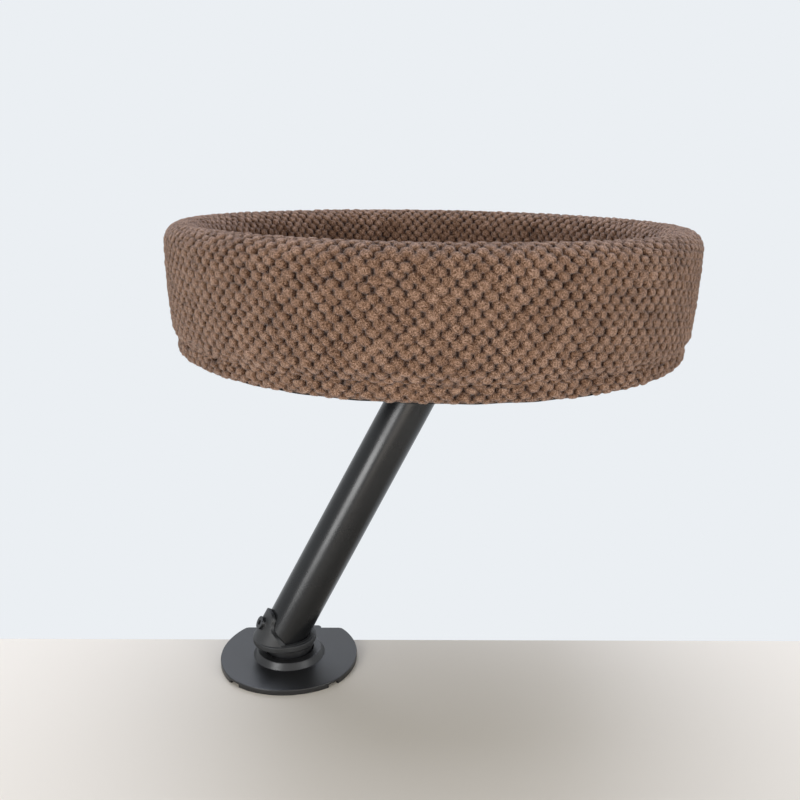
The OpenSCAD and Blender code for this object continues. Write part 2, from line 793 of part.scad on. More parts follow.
// Hexagon bolt that holds the bed to the head
module bed_bolt() {
    color([0.6, 0.6, 0.61]) at_bed() {
        translate([0, 0, cloth_z]) hex(bolt_hex, bolt_hex_h);
        translate([0, 0, turn_sum - nut_top - bolt_proud])
            cylinder(r = pivot_r, h = cloth_z + nut_top + bolt_proud - turn_sum);
    }
}

// Domed screws through the plate into the tee nuts
module bed_screws() {
    color([0.08, 0.08, 0.08]) at_bed() at_plate_screws() {
        translate([0, 0, plate_z - bed_screw_head_h]) rotate_extrude() polygon(concat([[0, 0]],
            arc([bed_screw_head_r - bed_screw_head_h, bed_screw_head_h], bed_screw_head_h, -90, 0),
            [[0, bed_screw_head_h]]));
        translate([0, 0, plate_z]) cylinder(r = bed_screw_r - run_gap, h = bed_screw_len);
    }
}

// Tee nuts hammered into the board from above
module tee_nuts() {
    color([0.65, 0.65, 0.66]) at_bed() at_plate_screws() difference() {
        union() {
            translate([0, 0, board_top - tee_len]) cylinder(r = tee_barrel_r, h = tee_len);
            translate([0, 0, board_top - tee_flange_t]) cylinder(r = tee_flange_r, h = tee_flange_t);
        }
        translate([0, 0, board_top - tee_len - over]) cylinder(r = bed_screw_r, h = tee_len + 2 * over);
    }
}

module bed_board() {
    color([0.72, 0.55, 0.36]) at_bed() difference() {
        translate([0, 0, board_z]) cylinder(r = board_r, h = board_t, $fn = 96);
        translate([0, 0, board_z - over]) cylinder(r = bolt_recess_r, h = board_t + 2 * over);
        translate([0, 0, board_z - over]) at_plate_screws() {
            cylinder(r = tee_barrel_r, h = board_t + 2 * over);
            translate([0, 0, over + board_t - tee_flange_t])
                cylinder(r = tee_flange_r, h = tee_flange_t + over);
        }
    }
}

// Black cloth stapled over the turned plush, stepping up to the board inside it
module dust_cloth() {
    inner = board_r - hem_w;
    low = cloth_z - hem_t;
    color([0.05, 0.05, 0.05]) at_bed() difference() {
        rotate_extrude() polygon([[0, cloth_z], [inner - cloth_step, cloth_z], [inner, low], [cloth_r, low],
            [cloth_r, low + cloth_t], [inner, low + cloth_t], [inner - cloth_step, board_z], [0, board_z]]);
        translate([0, 0, cloth_z - over]) cylinder(r = bolt_recess_r, h = cloth_t + 2 * over);
        translate([0, 0, cloth_z - over]) at_plate_screws()
            cylinder(r = bed_screw_r + fit_gap, h = cloth_t + 2 * over);
    }
}

// Plush wrapped round the board's edge and turned in below
module edge_band() {
    low = board_z - hem_t;
    belly = band_t * belly_share;
    color([0.42, 0.29, 0.22]) at_bed() rotate_extrude() polygon(concat(
        [[board_r - hem_w, board_z], [board_r - hem_w, low]],
        arc([band_r - belly, low + belly], belly, -90, 0),
        arc([band_r - belly, board_top - belly], belly, 0, 90),
        [[board_r, board_top], [board_r, board_z]]));
}

// Section of the padded wall, drawn in by an amount all round
function wall_section(inset) =
    let (top_r = wall_t / 2 - inset, top = [wall_r - wall_t / 2, wall_top - wall_t / 2],
         out = wall_r - wall_draw - inset, inn = wall_r - wall_t + wall_draw / 2 + inset,
         low = wall_z + inset, corner = wall_corner - inset / 2)
    concat(arc(top, top_r, 0, 180, 2 * arc_steps),
        arc([inn + corner, low + corner], corner, 180, 270),
        arc([out - corner, low + corner], corner, 270, 360));

module wall_hoop() {
    mid = wall_r - wall_t / 2 - wall_draw / 4;
    color([0.85, 0.85, 0.83]) at_bed() translate([0, 0, wall_z + hoop_low])
        ring(mid + hoop_t / 2, mid - hoop_t / 2, hoop_h);
}

module wall_foam() {
    mid = wall_r - wall_t / 2 - wall_draw / 4;
    color([0.93, 0.9, 0.8]) at_bed() difference() {
        rotate_extrude() polygon(wall_section(plush_t + seam_gap));
        translate([0, 0, wall_z + hoop_low - seam_gap])
            ring(mid + hoop_t / 2 + seam_gap, mid - hoop_t / 2 - seam_gap, hoop_h + 2 * seam_gap);
    }
}

module wall_cover() {
    color([0.42, 0.29, 0.22]) at_bed() difference() {
        rotate_extrude() polygon(wall_section(0));
        rotate_extrude() polygon(wall_section(plush_t));
    }
}

// Rise of the pad's underside to its seam
function seam_low(inset) = (pad_seam_h - inset) * pad_shoulder_share;

// Half section of the floor pad: flat below, drawn in at the seam, crowned above
function pad_section(inset) =
    let (r = pad_r - inset, low = pad_z + inset, seam = pad_z + pad_seam_h,
         shoulder = pad_z + pad_edge_h - inset, top = pad_z + pad_h - inset, draw = 2 * pad_corner,
         flat = r * pad_shoulder_share)
    concat([[0, low]], arc([r - draw, low + seam_low(inset)], seam_low(inset), -90, 0),
        [[r - draw / 2 + pad_corner / 2, seam]],
        [for (i = [1 : arc_steps]) let (a = 90 * i / arc_steps)
            [flat + (r - flat) * cos(a), seam + (shoulder - seam) * sin(a)]],
        [for (i = [1 : arc_steps]) let (u = 1 - i / arc_steps) [flat * u, top - (top - shoulder) * u * u]]);

module pad_foam() {
    color([0.93, 0.9, 0.8]) at_bed() rotate_extrude() polygon(pad_section(plush_t + seam_gap));
}

module pad_cover() {
    color([0.42, 0.29, 0.22]) at_bed() difference() {
        rotate_extrude() polygon(pad_section(0));
        rotate_extrude() polygon(pad_section(plush_t));
    }
}

base_cover();
clamp_frame();
swivel_hub();
desk_pad();
cover_screws();
pivot_bolt();
clamp_nut();
pressure_pad();
pressure_liner();
clamp_screw();
clamp_knob();
knob_pin();
base_bearing();
swivel_foot();
pivot_washer();
pivot_nut();
foot_screw();
pole();
swivel_head();
head_screw();
bed_nut_washer();
bed_nut();
bed_bearing();
bed_plate();
bed_bolt();
bed_screws();
tee_nuts();
bed_board();
dust_cloth();
edge_band();
wall_hoop();
wall_foam();
wall_cover();
pad_foam();
pad_cover();
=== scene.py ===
import json
import math

import bpy
import numpy as np
from mathutils import Matrix, Vector


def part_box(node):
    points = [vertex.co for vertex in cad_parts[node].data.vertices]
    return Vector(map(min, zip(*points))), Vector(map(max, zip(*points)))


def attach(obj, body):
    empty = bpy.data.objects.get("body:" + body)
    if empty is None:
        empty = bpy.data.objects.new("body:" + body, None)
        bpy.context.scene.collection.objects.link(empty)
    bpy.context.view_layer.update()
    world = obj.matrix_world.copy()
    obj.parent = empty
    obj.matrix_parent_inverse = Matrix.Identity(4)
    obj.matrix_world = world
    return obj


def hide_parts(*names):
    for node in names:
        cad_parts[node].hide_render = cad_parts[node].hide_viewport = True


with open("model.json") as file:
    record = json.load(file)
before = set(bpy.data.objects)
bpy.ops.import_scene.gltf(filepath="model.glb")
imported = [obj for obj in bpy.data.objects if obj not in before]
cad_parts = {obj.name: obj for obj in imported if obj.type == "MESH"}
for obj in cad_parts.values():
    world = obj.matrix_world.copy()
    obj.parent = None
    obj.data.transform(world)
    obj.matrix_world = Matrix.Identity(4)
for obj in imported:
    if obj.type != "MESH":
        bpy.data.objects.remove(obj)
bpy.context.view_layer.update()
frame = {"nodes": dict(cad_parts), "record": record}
cad = frame["nodes"]
scene = bpy.context.scene
mm = 0.001
print("frame loaded:", len(cad), "nodes")


# Camera at the photograph's place, first of all

photo = {
    "place": (0.07536, -0.66769, 0.40478),  # metres from the foot of the lower swivel
    "yaw": 1.308,
    "pitch": 14.918,
    "roll": 0.859,
    "focal": 878.905,  # in pixels of a frame 800 pixels wide
    "frame": 800,
    "sensor": 36,
}


def makeCamera(view):
    yaw, pitch, roll = (math.radians(view[k]) for k in ("yaw", "pitch", "roll"))
    ahead = np.array([math.sin(yaw) * math.cos(pitch), math.cos(yaw) * math.cos(pitch), -math.sin(pitch)])
    right = np.array([math.cos(yaw), -math.sin(yaw), 0])
    up = np.cross(right, ahead)
    across = right * math.cos(roll) + up * math.sin(roll)
    upward = -right * math.sin(roll) + up * math.cos(roll)
    data = bpy.data.cameras.new("photoCamera")
    data.sensor_width = view["sensor"]
    data.lens = view["sensor"] * view["focal"] / view["frame"]
    data.clip_start = 0.01
    camera = bpy.data.objects.new("photoCamera", data)
    scene.collection.objects.link(camera)
    turn = Matrix([across, upward, -ahead]).transposed().to_4x4()
    camera.matrix_world = Matrix.Translation(view["place"]) @ turn
    scene.camera = camera


makeCamera(photo)


# Colour, node and material helpers

# Radians that a wave texture of scale 1 runs through in a metre. With a scale of 1 / size / waveRadians its
# bands stand 2 pi sizes apart.
waveRadians = 20


def srgb(code):
    parts = [int(code[i:i + 2], 16) / 255 for i in (1, 3, 5)]
    return tuple(c / 12.92 if c <= 0.04045 else ((c + 0.055) / 1.055) ** 2.4 for c in parts) + (1,)


def addNode(tree, kind, settings=None, links=None):
    node = tree.nodes.new(kind)
    for key, value in (settings or {}).items():
        if key == "stops":
            steps = node.color_ramp.elements
            while len(steps) < len(value):
                steps.new(0.5)
            for step, (place, code) in zip(steps, value):
                step.position, step.color = place, srgb(code)
        elif isinstance(key, str) and hasattr(node, key):
            setattr(node, key, value)
        else:
            node.inputs[key].default_value = value
    for key, socket in (links or {}).items():
        tree.links.new(socket, node.inputs[key])
    return node


def newMaterial(name, colour, roughness, sockets=None):
    material = bpy.data.materials.new(name)
    material.use_nodes = True
    tree = material.node_tree
    shader = tree.nodes["Principled BSDF"]
    shader.inputs["Base Color"].default_value = srgb(colour)
    shader.inputs["Roughness"].default_value = roughness
    for key, value in (sockets or {}).items():
        shader.inputs[key].default_value = value
    return material, tree, shader


def dress(tree, shader, amount, stops, height, depth, edge=0):
    # Colour picked between the stops, fine relief, and edges that catch the light as if slightly broken
    tint = addNode(tree, "ShaderNodeValToRGB", {"stops": stops}, {"Fac": amount})
    relief = addNode(tree, "ShaderNodeBump", {"Distance": depth}, {"Height": height})
    if edge:
        broken = addNode(tree, "ShaderNodeBevel", {"samples": 4, "Radius": edge})
        tree.links.new(broken.outputs[0], relief.inputs["Normal"])
    tree.links.new(tint.outputs[0], shader.inputs["Base Color"])
    tree.links.new(relief.outputs[0], shader.inputs["Normal"])


def varyRoughness(tree, shader, amount, span):
    # Roughness that follows the amount; span is the amount's low and high end and the roughness at each
    spread = addNode(tree, "ShaderNodeMapRange", dict(enumerate(span, 1)), {0: amount})
    tree.links.new(spread.outputs[0], shader.inputs["Roughness"])


def makeClouded(skin):
    # Fine grain in relief, and broad clouds that the roughness follows; one of the two picks the colour
    material, tree, shader = newMaterial(skin["name"], skin["colour"], skin["gloss"], skin.get("sockets"))
    spot = addNode(tree, "ShaderNodeTexCoord").outputs["Object"]
    grain, cloud = (addNode(tree, "ShaderNodeTexNoise", {"Scale": 1 / size, "Detail": detail},
                            {"Vector": spot}).outputs[0] for size, detail in (skin["grain"], skin["cloud"]))
    varyRoughness(tree, shader, cloud, skin["roughness"])
    dress(tree, shader, grain if skin.get("tintedByGrain") else cloud, skin["stops"], grain,
          skin["depth"], skin["edge"])
    return material


def makePatterned(skin):
    # One texture that gives both the colour and the relief
    material, tree, shader = newMaterial(skin["name"], skin["colour"], skin["gloss"], skin.get("sockets"))
    spot = addNode(tree, "ShaderNodeTexCoord").outputs["Object"]
    kind, output, settings = skin["texture"]
    pattern = addNode(tree, "ShaderNodeTex" + kind, settings, {"Vector": spot}).outputs[output]
    dress(tree, shader, pattern, skin["stops"], pattern, skin["depth"], skin.get("edge", 0))
    return material


clouded = {
    # Steel with satin black powder coat: broad soft highlights, a faint orange peel and handling marks
    "black_steel": {
        "name": "satinPowderCoat", "colour": "#121314", "stops": [(0.3, "#101112"), (0.75, "#161718")],
        "gloss": 0.35, "sockets": {"Specular IOR Level": 0.4}, "roughness": (0.35, 0.7, 0.24, 0.31),
        "grain": (1.4 * mm, 1.5), "cloud": (38 * mm, 5), "depth": 0.014 * mm, "edge": 0.5 * mm},
    # Die-cast zinc with a fine matt powder coat: grainier than the tube, its edges shaded as rounded so that
    # they catch the light
    "cast_black": {
        "name": "coatedZincCasting", "colour": "#242526", "stops": [(0.3, "#202122"), (0.7, "#292a2b")],
        "gloss": 0.5, "roughness": (0.3, 0.7, 0.44, 0.58),
        "grain": (0.7 * mm, 3), "cloud": (14 * mm, 4), "depth": 0.03 * mm, "edge": 0.9 * mm},
    # Moulded ABS with a spark-eroded texture, drawn a little coarser than real so that it shows
    "cover_plastic": {
        "name": "texturedAbs", "colour": "#1f1f20", "stops": [(0.35, "#191919"), (0.65, "#1f1f20")],
        "gloss": 0.34, "roughness": (0.3, 0.7, 0.3, 0.38), "tintedByGrain": True,
        "grain": (0.55 * mm, 2), "cloud": (26 * mm, 3), "depth": 0.02 * mm, "edge": 0.9 * mm},
    # Bright zinc plating on turned and pressed steel: metallic, slightly blue, with dull patches
    "bright_steel": {
        "name": "brightZincPlate", "colour": "#b9bdc4", "stops": [(0.35, "#94979b"), (0.6, "#b9bdc4")],
        "gloss": 0.3, "sockets": {"Metallic": 1.0}, "roughness": (0.3, 0.7, 0.24, 0.42),
        "grain": (0.5 * mm, 1), "cloud": (6 * mm, 4), "depth": 0.01 * mm, "edge": 0.3 * mm},
}
patterned = {
    # Black oxide on steel screws: near black, oily satin
    "black_screw": {
        "name": "blackOxideSteel", "colour": "#17181a", "stops": [(0.4, "#17181a"), (0.7, "#2b2c2e")],
        "gloss": 0.36, "sockets": {"Metallic": 0.35}, "depth": 0.012 * mm, "edge": 0.35 * mm,
        "texture": ("Noise", 0, {"Scale": 1 / (0.6 * mm), "Detail": 3})},
    # Closed-cell rubber sheet: matt, with fine pores
    "rubber_black": {
        "name": "closedCellRubber", "colour": "#18181a", "stops": [(0.05, "#0f0f10"), (0.4, "#1c1c1e")],
        "gloss": 0.85, "sockets": {"IOR": 1.52}, "depth": 0.12 * mm, "edge": 0.3 * mm,
        "texture": ("Voronoi", "Distance", {"Scale": 1 / (0.8 * mm)})},
    # Black acetal washer, turned on a lathe: waxy, with rings round its rim, drawn coarser than real
    "bearing_black": {
        "name": "turnedAcetal", "colour": "#1b1b1c", "stops": [(0.2, "#171718"), (0.9, "#202021")],
        "gloss": 0.38, "sockets": {"IOR": 1.48}, "depth": 0.03 * mm, "edge": 0.4 * mm,
        "texture": ("Wave", 1, {"wave_type": "BANDS", "bands_direction": "Z", "Distortion": 0.4,
                                "Scale": 1 / (0.9 * mm) / waveRadians})},
    # Glass-filled nylon knob: leathery moulded skin, with painted shade darkening the hollows of the grain
    # and its ridges greyer
    "knob_plastic": {
        "name": "mouldedNylon", "colour": "#1e1f20", "stops": [(0.1, "#18191a"), (0.6, "#262728")],
        "gloss": 0.48, "sockets": {"IOR": 1.53}, "depth": 0.08 * mm, "edge": 0.8 * mm,
        "texture": ("Voronoi", "Distance", {"feature": "SMOOTH_F1", "Scale": 1 / (1.2 * mm)})},
    # Natural polypropylene strip, stiffening the wall from inside; its die lines are drawn coarser than real
    "hoop_plastic": {
        "name": "extrudedPolypropylene", "colour": "#dad9d2", "stops": [(0, "#d2d1c9"), (1, "#e0dfd8")],
        "gloss": 0.4, "sockets": {"Subsurface Weight": 0.1}, "depth": 0.03 * mm, "edge": 0.3 * mm,
        "texture": ("Wave", 1, {"bands_direction": "Z", "Distortion": 2,
                                "Scale": 1 / (1.25 * mm) / waveRadians})},
    # Upholstery foam: creamy, with open cells about a millimetre across
    "foam": {
        "name": "openCellFoam", "colour": "#efe6c9", "stops": [(0.05, "#cdbf96"), (0.5, "#efe6c9")],
        "gloss": 0.95, "depth": 0.5 * mm, "texture": ("Voronoi", "Distance", {"Scale": 1 / (1.3 * mm)})},
}


def birchPly():
    # Birch plywood: pale rotary-cut face grain, with darker plies at the edge, drawn coarser than real
    board = {"pale": "#d9b98a", "dark": "#b98f5f", "ply": 1.55 * mm, "grain": 3 * mm, "grainDepth": 0.05 * mm,
             "drawn": (0.06, 1, 1), "edge": 0.4 * mm}
    material, tree, shader = newMaterial("birchPlywood", board["pale"], roughness=0.6)
    spot = addNode(tree, "ShaderNodeTexCoord").outputs["Object"]
    drawn = addNode(tree, "ShaderNodeMapping", {"Scale": board["drawn"]}, {"Vector": spot})
    grain = addNode(tree, "ShaderNodeTexNoise", {"Scale": 1 / board["grain"], "Detail": 6, "Distortion": 0.6},
                    {"Vector": drawn.outputs[0]})
    plies = addNode(tree, "ShaderNodeTexWave",
                    {"bands_direction": "Z", "Scale": 1 / board["ply"] / waveRadians}, {"Vector": spot})
    mixed = addNode(tree, "ShaderNodeMath", {"operation": "MULTIPLY"},
                    {0: grain.outputs[0], 1: plies.outputs[1]})
    dress(tree, shader, mixed.outputs[0], [(0.05, board["dark"]), (0.5, board["pale"])],
          grain.outputs[0], board["grainDepth"], board["edge"])
    return material


def spunbondCloth():
    # Black spunbond polypropylene: matt and papery, with small pressed points in rows
    sheet = {"colour": "#1b1b1c", "stops": [(0.3, "#141415"), (0.7, "#242426")], "fibre": 0.6 * mm,
             "point": 1.6 * mm, "pointDepth": 0.14 * mm}
    material, tree, shader = newMaterial("spunbondPolypropylene", sheet["colour"], roughness=0.82,
                                         sockets={"Sheen Weight": 0.15, "Sheen Roughness": 0.5})
    spot = addNode(tree, "ShaderNodeTexCoord").outputs["Object"]
    turned = addNode(tree, "ShaderNodeMapping", {"Rotation": (0, 0, math.radians(45))}, {"Vector": spot})
    points = addNode(tree, "ShaderNodeTexVoronoi", {"Scale": 1 / sheet["point"], "Randomness": 0.15},
                     {"Vector": turned.outputs[0]})
    fibres = addNode(tree, "ShaderNodeTexNoise", {"Scale": 1 / sheet["fibre"], "Detail": 3}, {"Vector": spot})
    dress(tree, shader, fibres.outputs[0], sheet["stops"], points.outputs["Distance"], sheet["pointDepth"])
    return material


def popcornPlush():
    # Popcorn chenille of brushed polyester: dusty tufts of bright curls, dark warm holes between, where
    # painted shade darkens the colour on top of the lamps' own shading.
    # The curls and specks are drawn coarser than the real fibres, which are too fine to show.
    # Each tone is a span of what feeds it and what that adds to the place between the stops.
    # Painted light and shade: the lowest stops are painted shade for the holes and creases, the highest
    # painted light on the tuft tops, and the tone taken from the pile's height picks between them.
    yarn = {"side": "#856650", "stops": [(0, "#24150c"), (0.25, "#4d3424"), (0.6, "#856650"), (1, "#c0a08b")],
            "speck": 0.75 * mm, "curl": 1.7 * mm, "patch": 34 * mm, "depth": 0.75 * mm, "sheen": "#e3dad8",
            "tuftShadeTone": (0, 1, -0.02, 0.6), "speckTone": (0.3, 0.7, -0.3, 0.3),
            "curlTone": (0, 0.14, 0.2, -0.12), "patchTone": (0.3, 0.7, -0.06, 0.06)}
    material, tree, shader = newMaterial("popcornChenille", yarn["side"], roughness=0.95, sockets={
        "Specular IOR Level": 0.12, "Sheen Weight": 0.42, "Sheen Roughness": 0.4,
        "Sheen Tint": srgb(yarn["sheen"])})
    spot = addNode(tree, "ShaderNodeTexCoord").outputs["Object"]
    tuft = addNode(tree, "ShaderNodeAttribute", {"attribute_name": "tuft"})
    speck = addNode(tree, "ShaderNodeTexNoise", {"Scale": 1 / yarn["speck"], "Detail": 3, "Roughness": 0.7},
                    {"Vector": spot})
    curl = addNode(tree, "ShaderNodeTexNoise", {"Scale": 1 / yarn["curl"], "Detail": 1, "Distortion": 0.6},
                   {"Vector": spot})
    patch = addNode(tree, "ShaderNodeTexNoise", {"Scale": 1 / yarn["patch"], "Detail": 3}, {"Vector": spot})
    middle = addNode(tree, "ShaderNodeMath", {"operation": "SUBTRACT", 1: 0.5}, {0: curl.outputs[0]})
    ridge = addNode(tree, "ShaderNodeMath", {"operation": "ABSOLUTE"}, {0: middle.outputs[0]})
    # Painted shade and light from the pile's height: dark in the holes between tufts, light on their tops
    base, spread, bright, uneven = (
        addNode(tree, "ShaderNodeMapRange", dict(enumerate(yarn[tone], 1)), {0: feed})
        for tone, feed in (("tuftShadeTone", tuft.outputs["Fac"]), ("speckTone", speck.outputs[0]),
                           ("curlTone", ridge.outputs[0]), ("patchTone", patch.outputs[0])))
    fine = addNode(tree, "ShaderNodeMath", {"operation": "ADD"}, {0: spread.outputs[0], 1: bright.outputs[0]})
    broad = addNode(tree, "ShaderNodeMath", {"operation": "ADD"}, {0: base.outputs[0], 1: uneven.outputs[0]})
    total = addNode(tree, "ShaderNodeMath", {"operation": "ADD"}, {0: fine.outputs[0], 1: broad.outputs[0]})
    dress(tree, shader, total.outputs[0], yarn["stops"], fine.outputs[0], yarn["depth"])
    return material


finishes = {slot: makeClouded(skin) for slot, skin in clouded.items()}
finishes.update({slot: makePatterned(skin) for slot, skin in patterned.items()})
finishes.update({"plywood": birchPly(), "dust_fabric": spunbondCloth(), "plush": popcornPlush()})
slotOf = {part["node"]: part["material_slot"] for part in frame["record"]["subparts"]}
for node, piece in cad.items():
    piece.data.materials.clear()
    piece.data.materials.append(finishes[slotOf[node]])
print("finishes laid on", len(cad), "nodes")


# Mesh helpers

def newPiece(name, points, faces, slotName):
    mesh = bpy.data.meshes.new(name)
    corners = np.concatenate([f.ravel() for f in faces])
    sizes = np.concatenate([np.full(len(f), f.shape[1]) for f in faces])
    mesh.vertices.add(len(points))
    mesh.vertices.foreach_set("co", np.asarray(points, np.float32).ravel())
    mesh.loops.add(len(corners))
    mesh.loops.foreach_set("vertex_index", corners.astype(np.int32))
    mesh.polygons.add(len(sizes))
    mesh.polygons.foreach_set("loop_start", (np.cumsum(sizes) - sizes).astype(np.int32))
    mesh.update(calc_edges=True)
    mesh.validate()
    mesh.polygons.foreach_set("use_smooth", np.ones(len(sizes), bool))
    mesh.materials.append(finishes[slotName])
    piece = bpy.data.objects.new(name, mesh)
    scene.collection.objects.link(piece)
    return piece


def hold(piece, slotName, body, *nodes):
    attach(piece, body)
    if nodes:
        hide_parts(*nodes)
    return piece


def gridFaces(columns, rows, wrapRows, start=0):
    i, j = np.meshgrid(np.arange(columns), np.arange(rows if wrapRows else rows - 1), indexing="ij")
    i, j = i.ravel(), j.ravel()
    far, up = (i + 1) % columns, (j + 1) % rows
    return start + np.stack([i * rows + j, far * rows + j, far * rows + up, i * rows + up], 1)


def turnProfile(profile, columns, centre):
    angle = np.linspace(0, 2 * math.pi, columns, endpoint=False)[:, None]
    radius, height = profile[None, :, 0], profile[None, :, 1]
    return np.stack([centre[0] + radius * np.cos(angle), centre[1] + radius * np.sin(angle),
                     height + 0 * angle], -1)


def arcPoints(middle, radius, start, end, steps=16):
    turn = np.radians(np.linspace(start, end, steps + 1))
    return [(middle[0] + radius * math.cos(a), middle[1] + radius * math.sin(a)) for a in turn]


def alongLine(line, stations):
    line = np.asarray(line, float)
    run = np.concatenate([[0], np.cumsum(np.linalg.norm(np.diff(line, axis=0), axis=1))])
    return np.stack([np.interp(stations, run, line[:, k]) for k in range(line.shape[1])], -1)


def lineLength(line):
    return float(np.linalg.norm(np.diff(np.asarray(line, float), axis=0), axis=1).sum())


def softNoise(points, size, seed):
    # Smooth noise from -1 to 1 on points in metres, the same on every run
    place = points / size
    cell = np.floor(place).astype(np.int64)
    part = place - cell
    part = part * part * (3 - 2 * part)
    total = np.zeros(points.shape[:-1])
    for corner in range(8):
        step = np.array([corner & 1, corner >> 1 & 1, corner >> 2 & 1])
        key = (cell + step) @ np.array([73856093, 19349663, 83492791]) + seed * 2654435761
        key = (key ^ (key >> 13)) * 1274126177 & 0xFFFFFFFF
        value = ((key ^ (key >> 16)) & 0xFFFF) / 32767.5 - 1
        total += value * np.prod(np.where(step, part, 1 - part), axis=-1)
    return total


def cubicPick(table, place, wrap):
    # Smooth values between the rows of a coarse table, along its first axis
    base = np.floor(place).astype(int)
    t = (place - base).reshape(-1, *[1] * (table.ndim - 1))
    count = len(table)
    rows = [(base + k) % count if wrap else np.clip(base + k, 0, count - 1) for k in (-1, 0, 1, 2)]
    a, b, c, d = (table[r] for r in rows)
    return b + 0.5 * t * (c - a + t * (2 * a - 5 * b + 4 * c - d + t * (3 * (b - c) + d - a)))


def swell(name, points, faces, held, push):
    # Cloth pressed outwards by its filling: returns how far each point moves, no further than the cap
    mesh = bpy.data.meshes.new(name)
    corners = [tuple(int(k) for k in face) for part in faces for face in part]
    mesh.from_pydata([tuple(p) for p in points], [], corners)
    cloth = bpy.data.objects.new(name, mesh)
    scene.collection.objects.link(cloth)
    group = cloth.vertex_groups.new(name="held")
    group.add([int(k) for k in np.nonzero(held)[0]], 1.0, "REPLACE")
    settings = cloth.modifiers.new("Cloth", "CLOTH").settings
    settings.quality = 6
    settings.mass = 0.3
    settings.tension_stiffness = push["tension"]
    settings.compression_stiffness = push["tension"]
    settings.bending_stiffness = push["bending"]
    settings.use_pressure = True
    settings.uniform_pressure_force = push["pressure"]
    settings.shrink_min = push["slack"]
    settings.vertex_group_mass = "held"
    settings.effector_weights.gravity = 0
    cloth.modifiers[0].collision_settings.use_collision = False
    for step in range(1, push["frames"] + 1):
        scene.frame_set(step)
    shaped = cloth.evaluated_get(bpy.context.evaluated_depsgraph_get())
    moved = np.zeros(len(points) * 3, np.float32)
    shaped.data.vertices.foreach_get("co", moved)
    bpy.data.objects.remove(cloth)
    scene.frame_set(1)
    shift = moved.reshape(-1, 3) - points
    length = np.linalg.norm(shift, axis=1, keepdims=True)
    return shift * np.minimum(1, push["cap"] / np.maximum(length, 1e-9))


# Plush

pile = {
    "across": 9.8 * mm,  # between tufts along a row
    "up": 10.4 * mm,  # between rows of the same stagger
    "reach": (4.55 * mm, 3.8 * mm),  # half width and half height of a tuft
    "bluntness": 1.8,
    "stray": 0.28 * mm,
    "sizes": (1, 0.04),  # mean and spread of the tufts' sizes
    "lifts": (0.95, 0.05),  # mean and spread of their heights, as shares of the depth
    "spare": 4,  # tufts laid past the edge of a sheet that doesn't close on itself
    "depth": 3.1 * mm,
    "strand": 1.9 * mm,
    "strandDepth": 0.3 * mm,
    # The strands also lift the height that the plush's shader turns into painted shade and light
    "strandTone": 0.12,
    "wander": ((0.12, 60 * mm), (0.14, 75 * mm)),  # stray of rows and columns, in tufts, and its size
    "seed": 7,
}


def tuftHeights(across, up, around, rows, drift, seed):
    # Height of the pile, 0 in a hole and 1 on a tuft, at places counted in tufts. Going once round is a whole
    # number of tufts across and rises by a whole number of rows; rows is how many close the other way, or 0.
    random = np.random.default_rng(seed)
    wide = 2 * around if around else 2 * int(np.ceil(2 * np.abs(across).max() + pile["spare"]))
    tall = 2 * rows if rows else 2 * int(np.ceil(2 * np.abs(up).max() + pile["spare"]))
    shift = random.normal(0, pile["stray"], (2, wide, tall))
    size = random.normal(*pile["sizes"], (wide, tall))
    lift = random.normal(*pile["lifts"], (wide, tall))
    a, b = 2 * across, 2 * up
    column, row = np.round(a).astype(int), np.round(b).astype(int)
    best = np.zeros(across.shape)
    for i in (-1, 0, 1):
        for j in (-1, 0, 1):
            m, n = column + i, row + j
            key = (m % wide, (n - 2 * drift * (m // wide)) % tall)
            dx = (a - m) / 2 * pile["across"] - shift[0][key]
            dz = (b - n) / 2 * pile["up"] - shift[1][key]
            near = (dx / (pile["reach"][0] * size[key])) ** 2 + (dz / (pile["reach"][1] * size[key])) ** 2
            dome = lift[key] * np.sqrt(np.maximum(0, 1 - near ** pile["bluntness"]))
            best = np.where((m + n) % 2 == 0, np.maximum(best, dome), best)
    return best


def raisePile(piece, heights, depth):
    mesh = piece.data
    count = len(mesh.vertices)
    points, normals = np.zeros(count * 3, np.float32), np.zeros(count * 3, np.float32)
    mesh.vertices.foreach_get("co", points)
    mesh.vertices.foreach_get("normal", normals)
    points, normals = points.reshape(-1, 3).astype(float), normals.reshape(-1, 3)
    strands = softNoise(points, pile["strand"], pile["seed"])
    lift = (heights - 1) * depth + strands * pile["strandDepth"] * np.minimum(1, depth / pile["depth"])
    mesh.vertices.foreach_set("co", (points + normals * lift[:, None]).astype(np.float32).ravel())
    # The pile's height goes to the shader, which paints shade in the holes and light on the tuft tops with it
    tone = mesh.attributes.new("tuft", "FLOAT", "POINT")
    tone.data.foreach_set("value", np.clip(heights + pile["strandTone"] * strands, 0, 1).astype(np.float32))
    mesh.update()


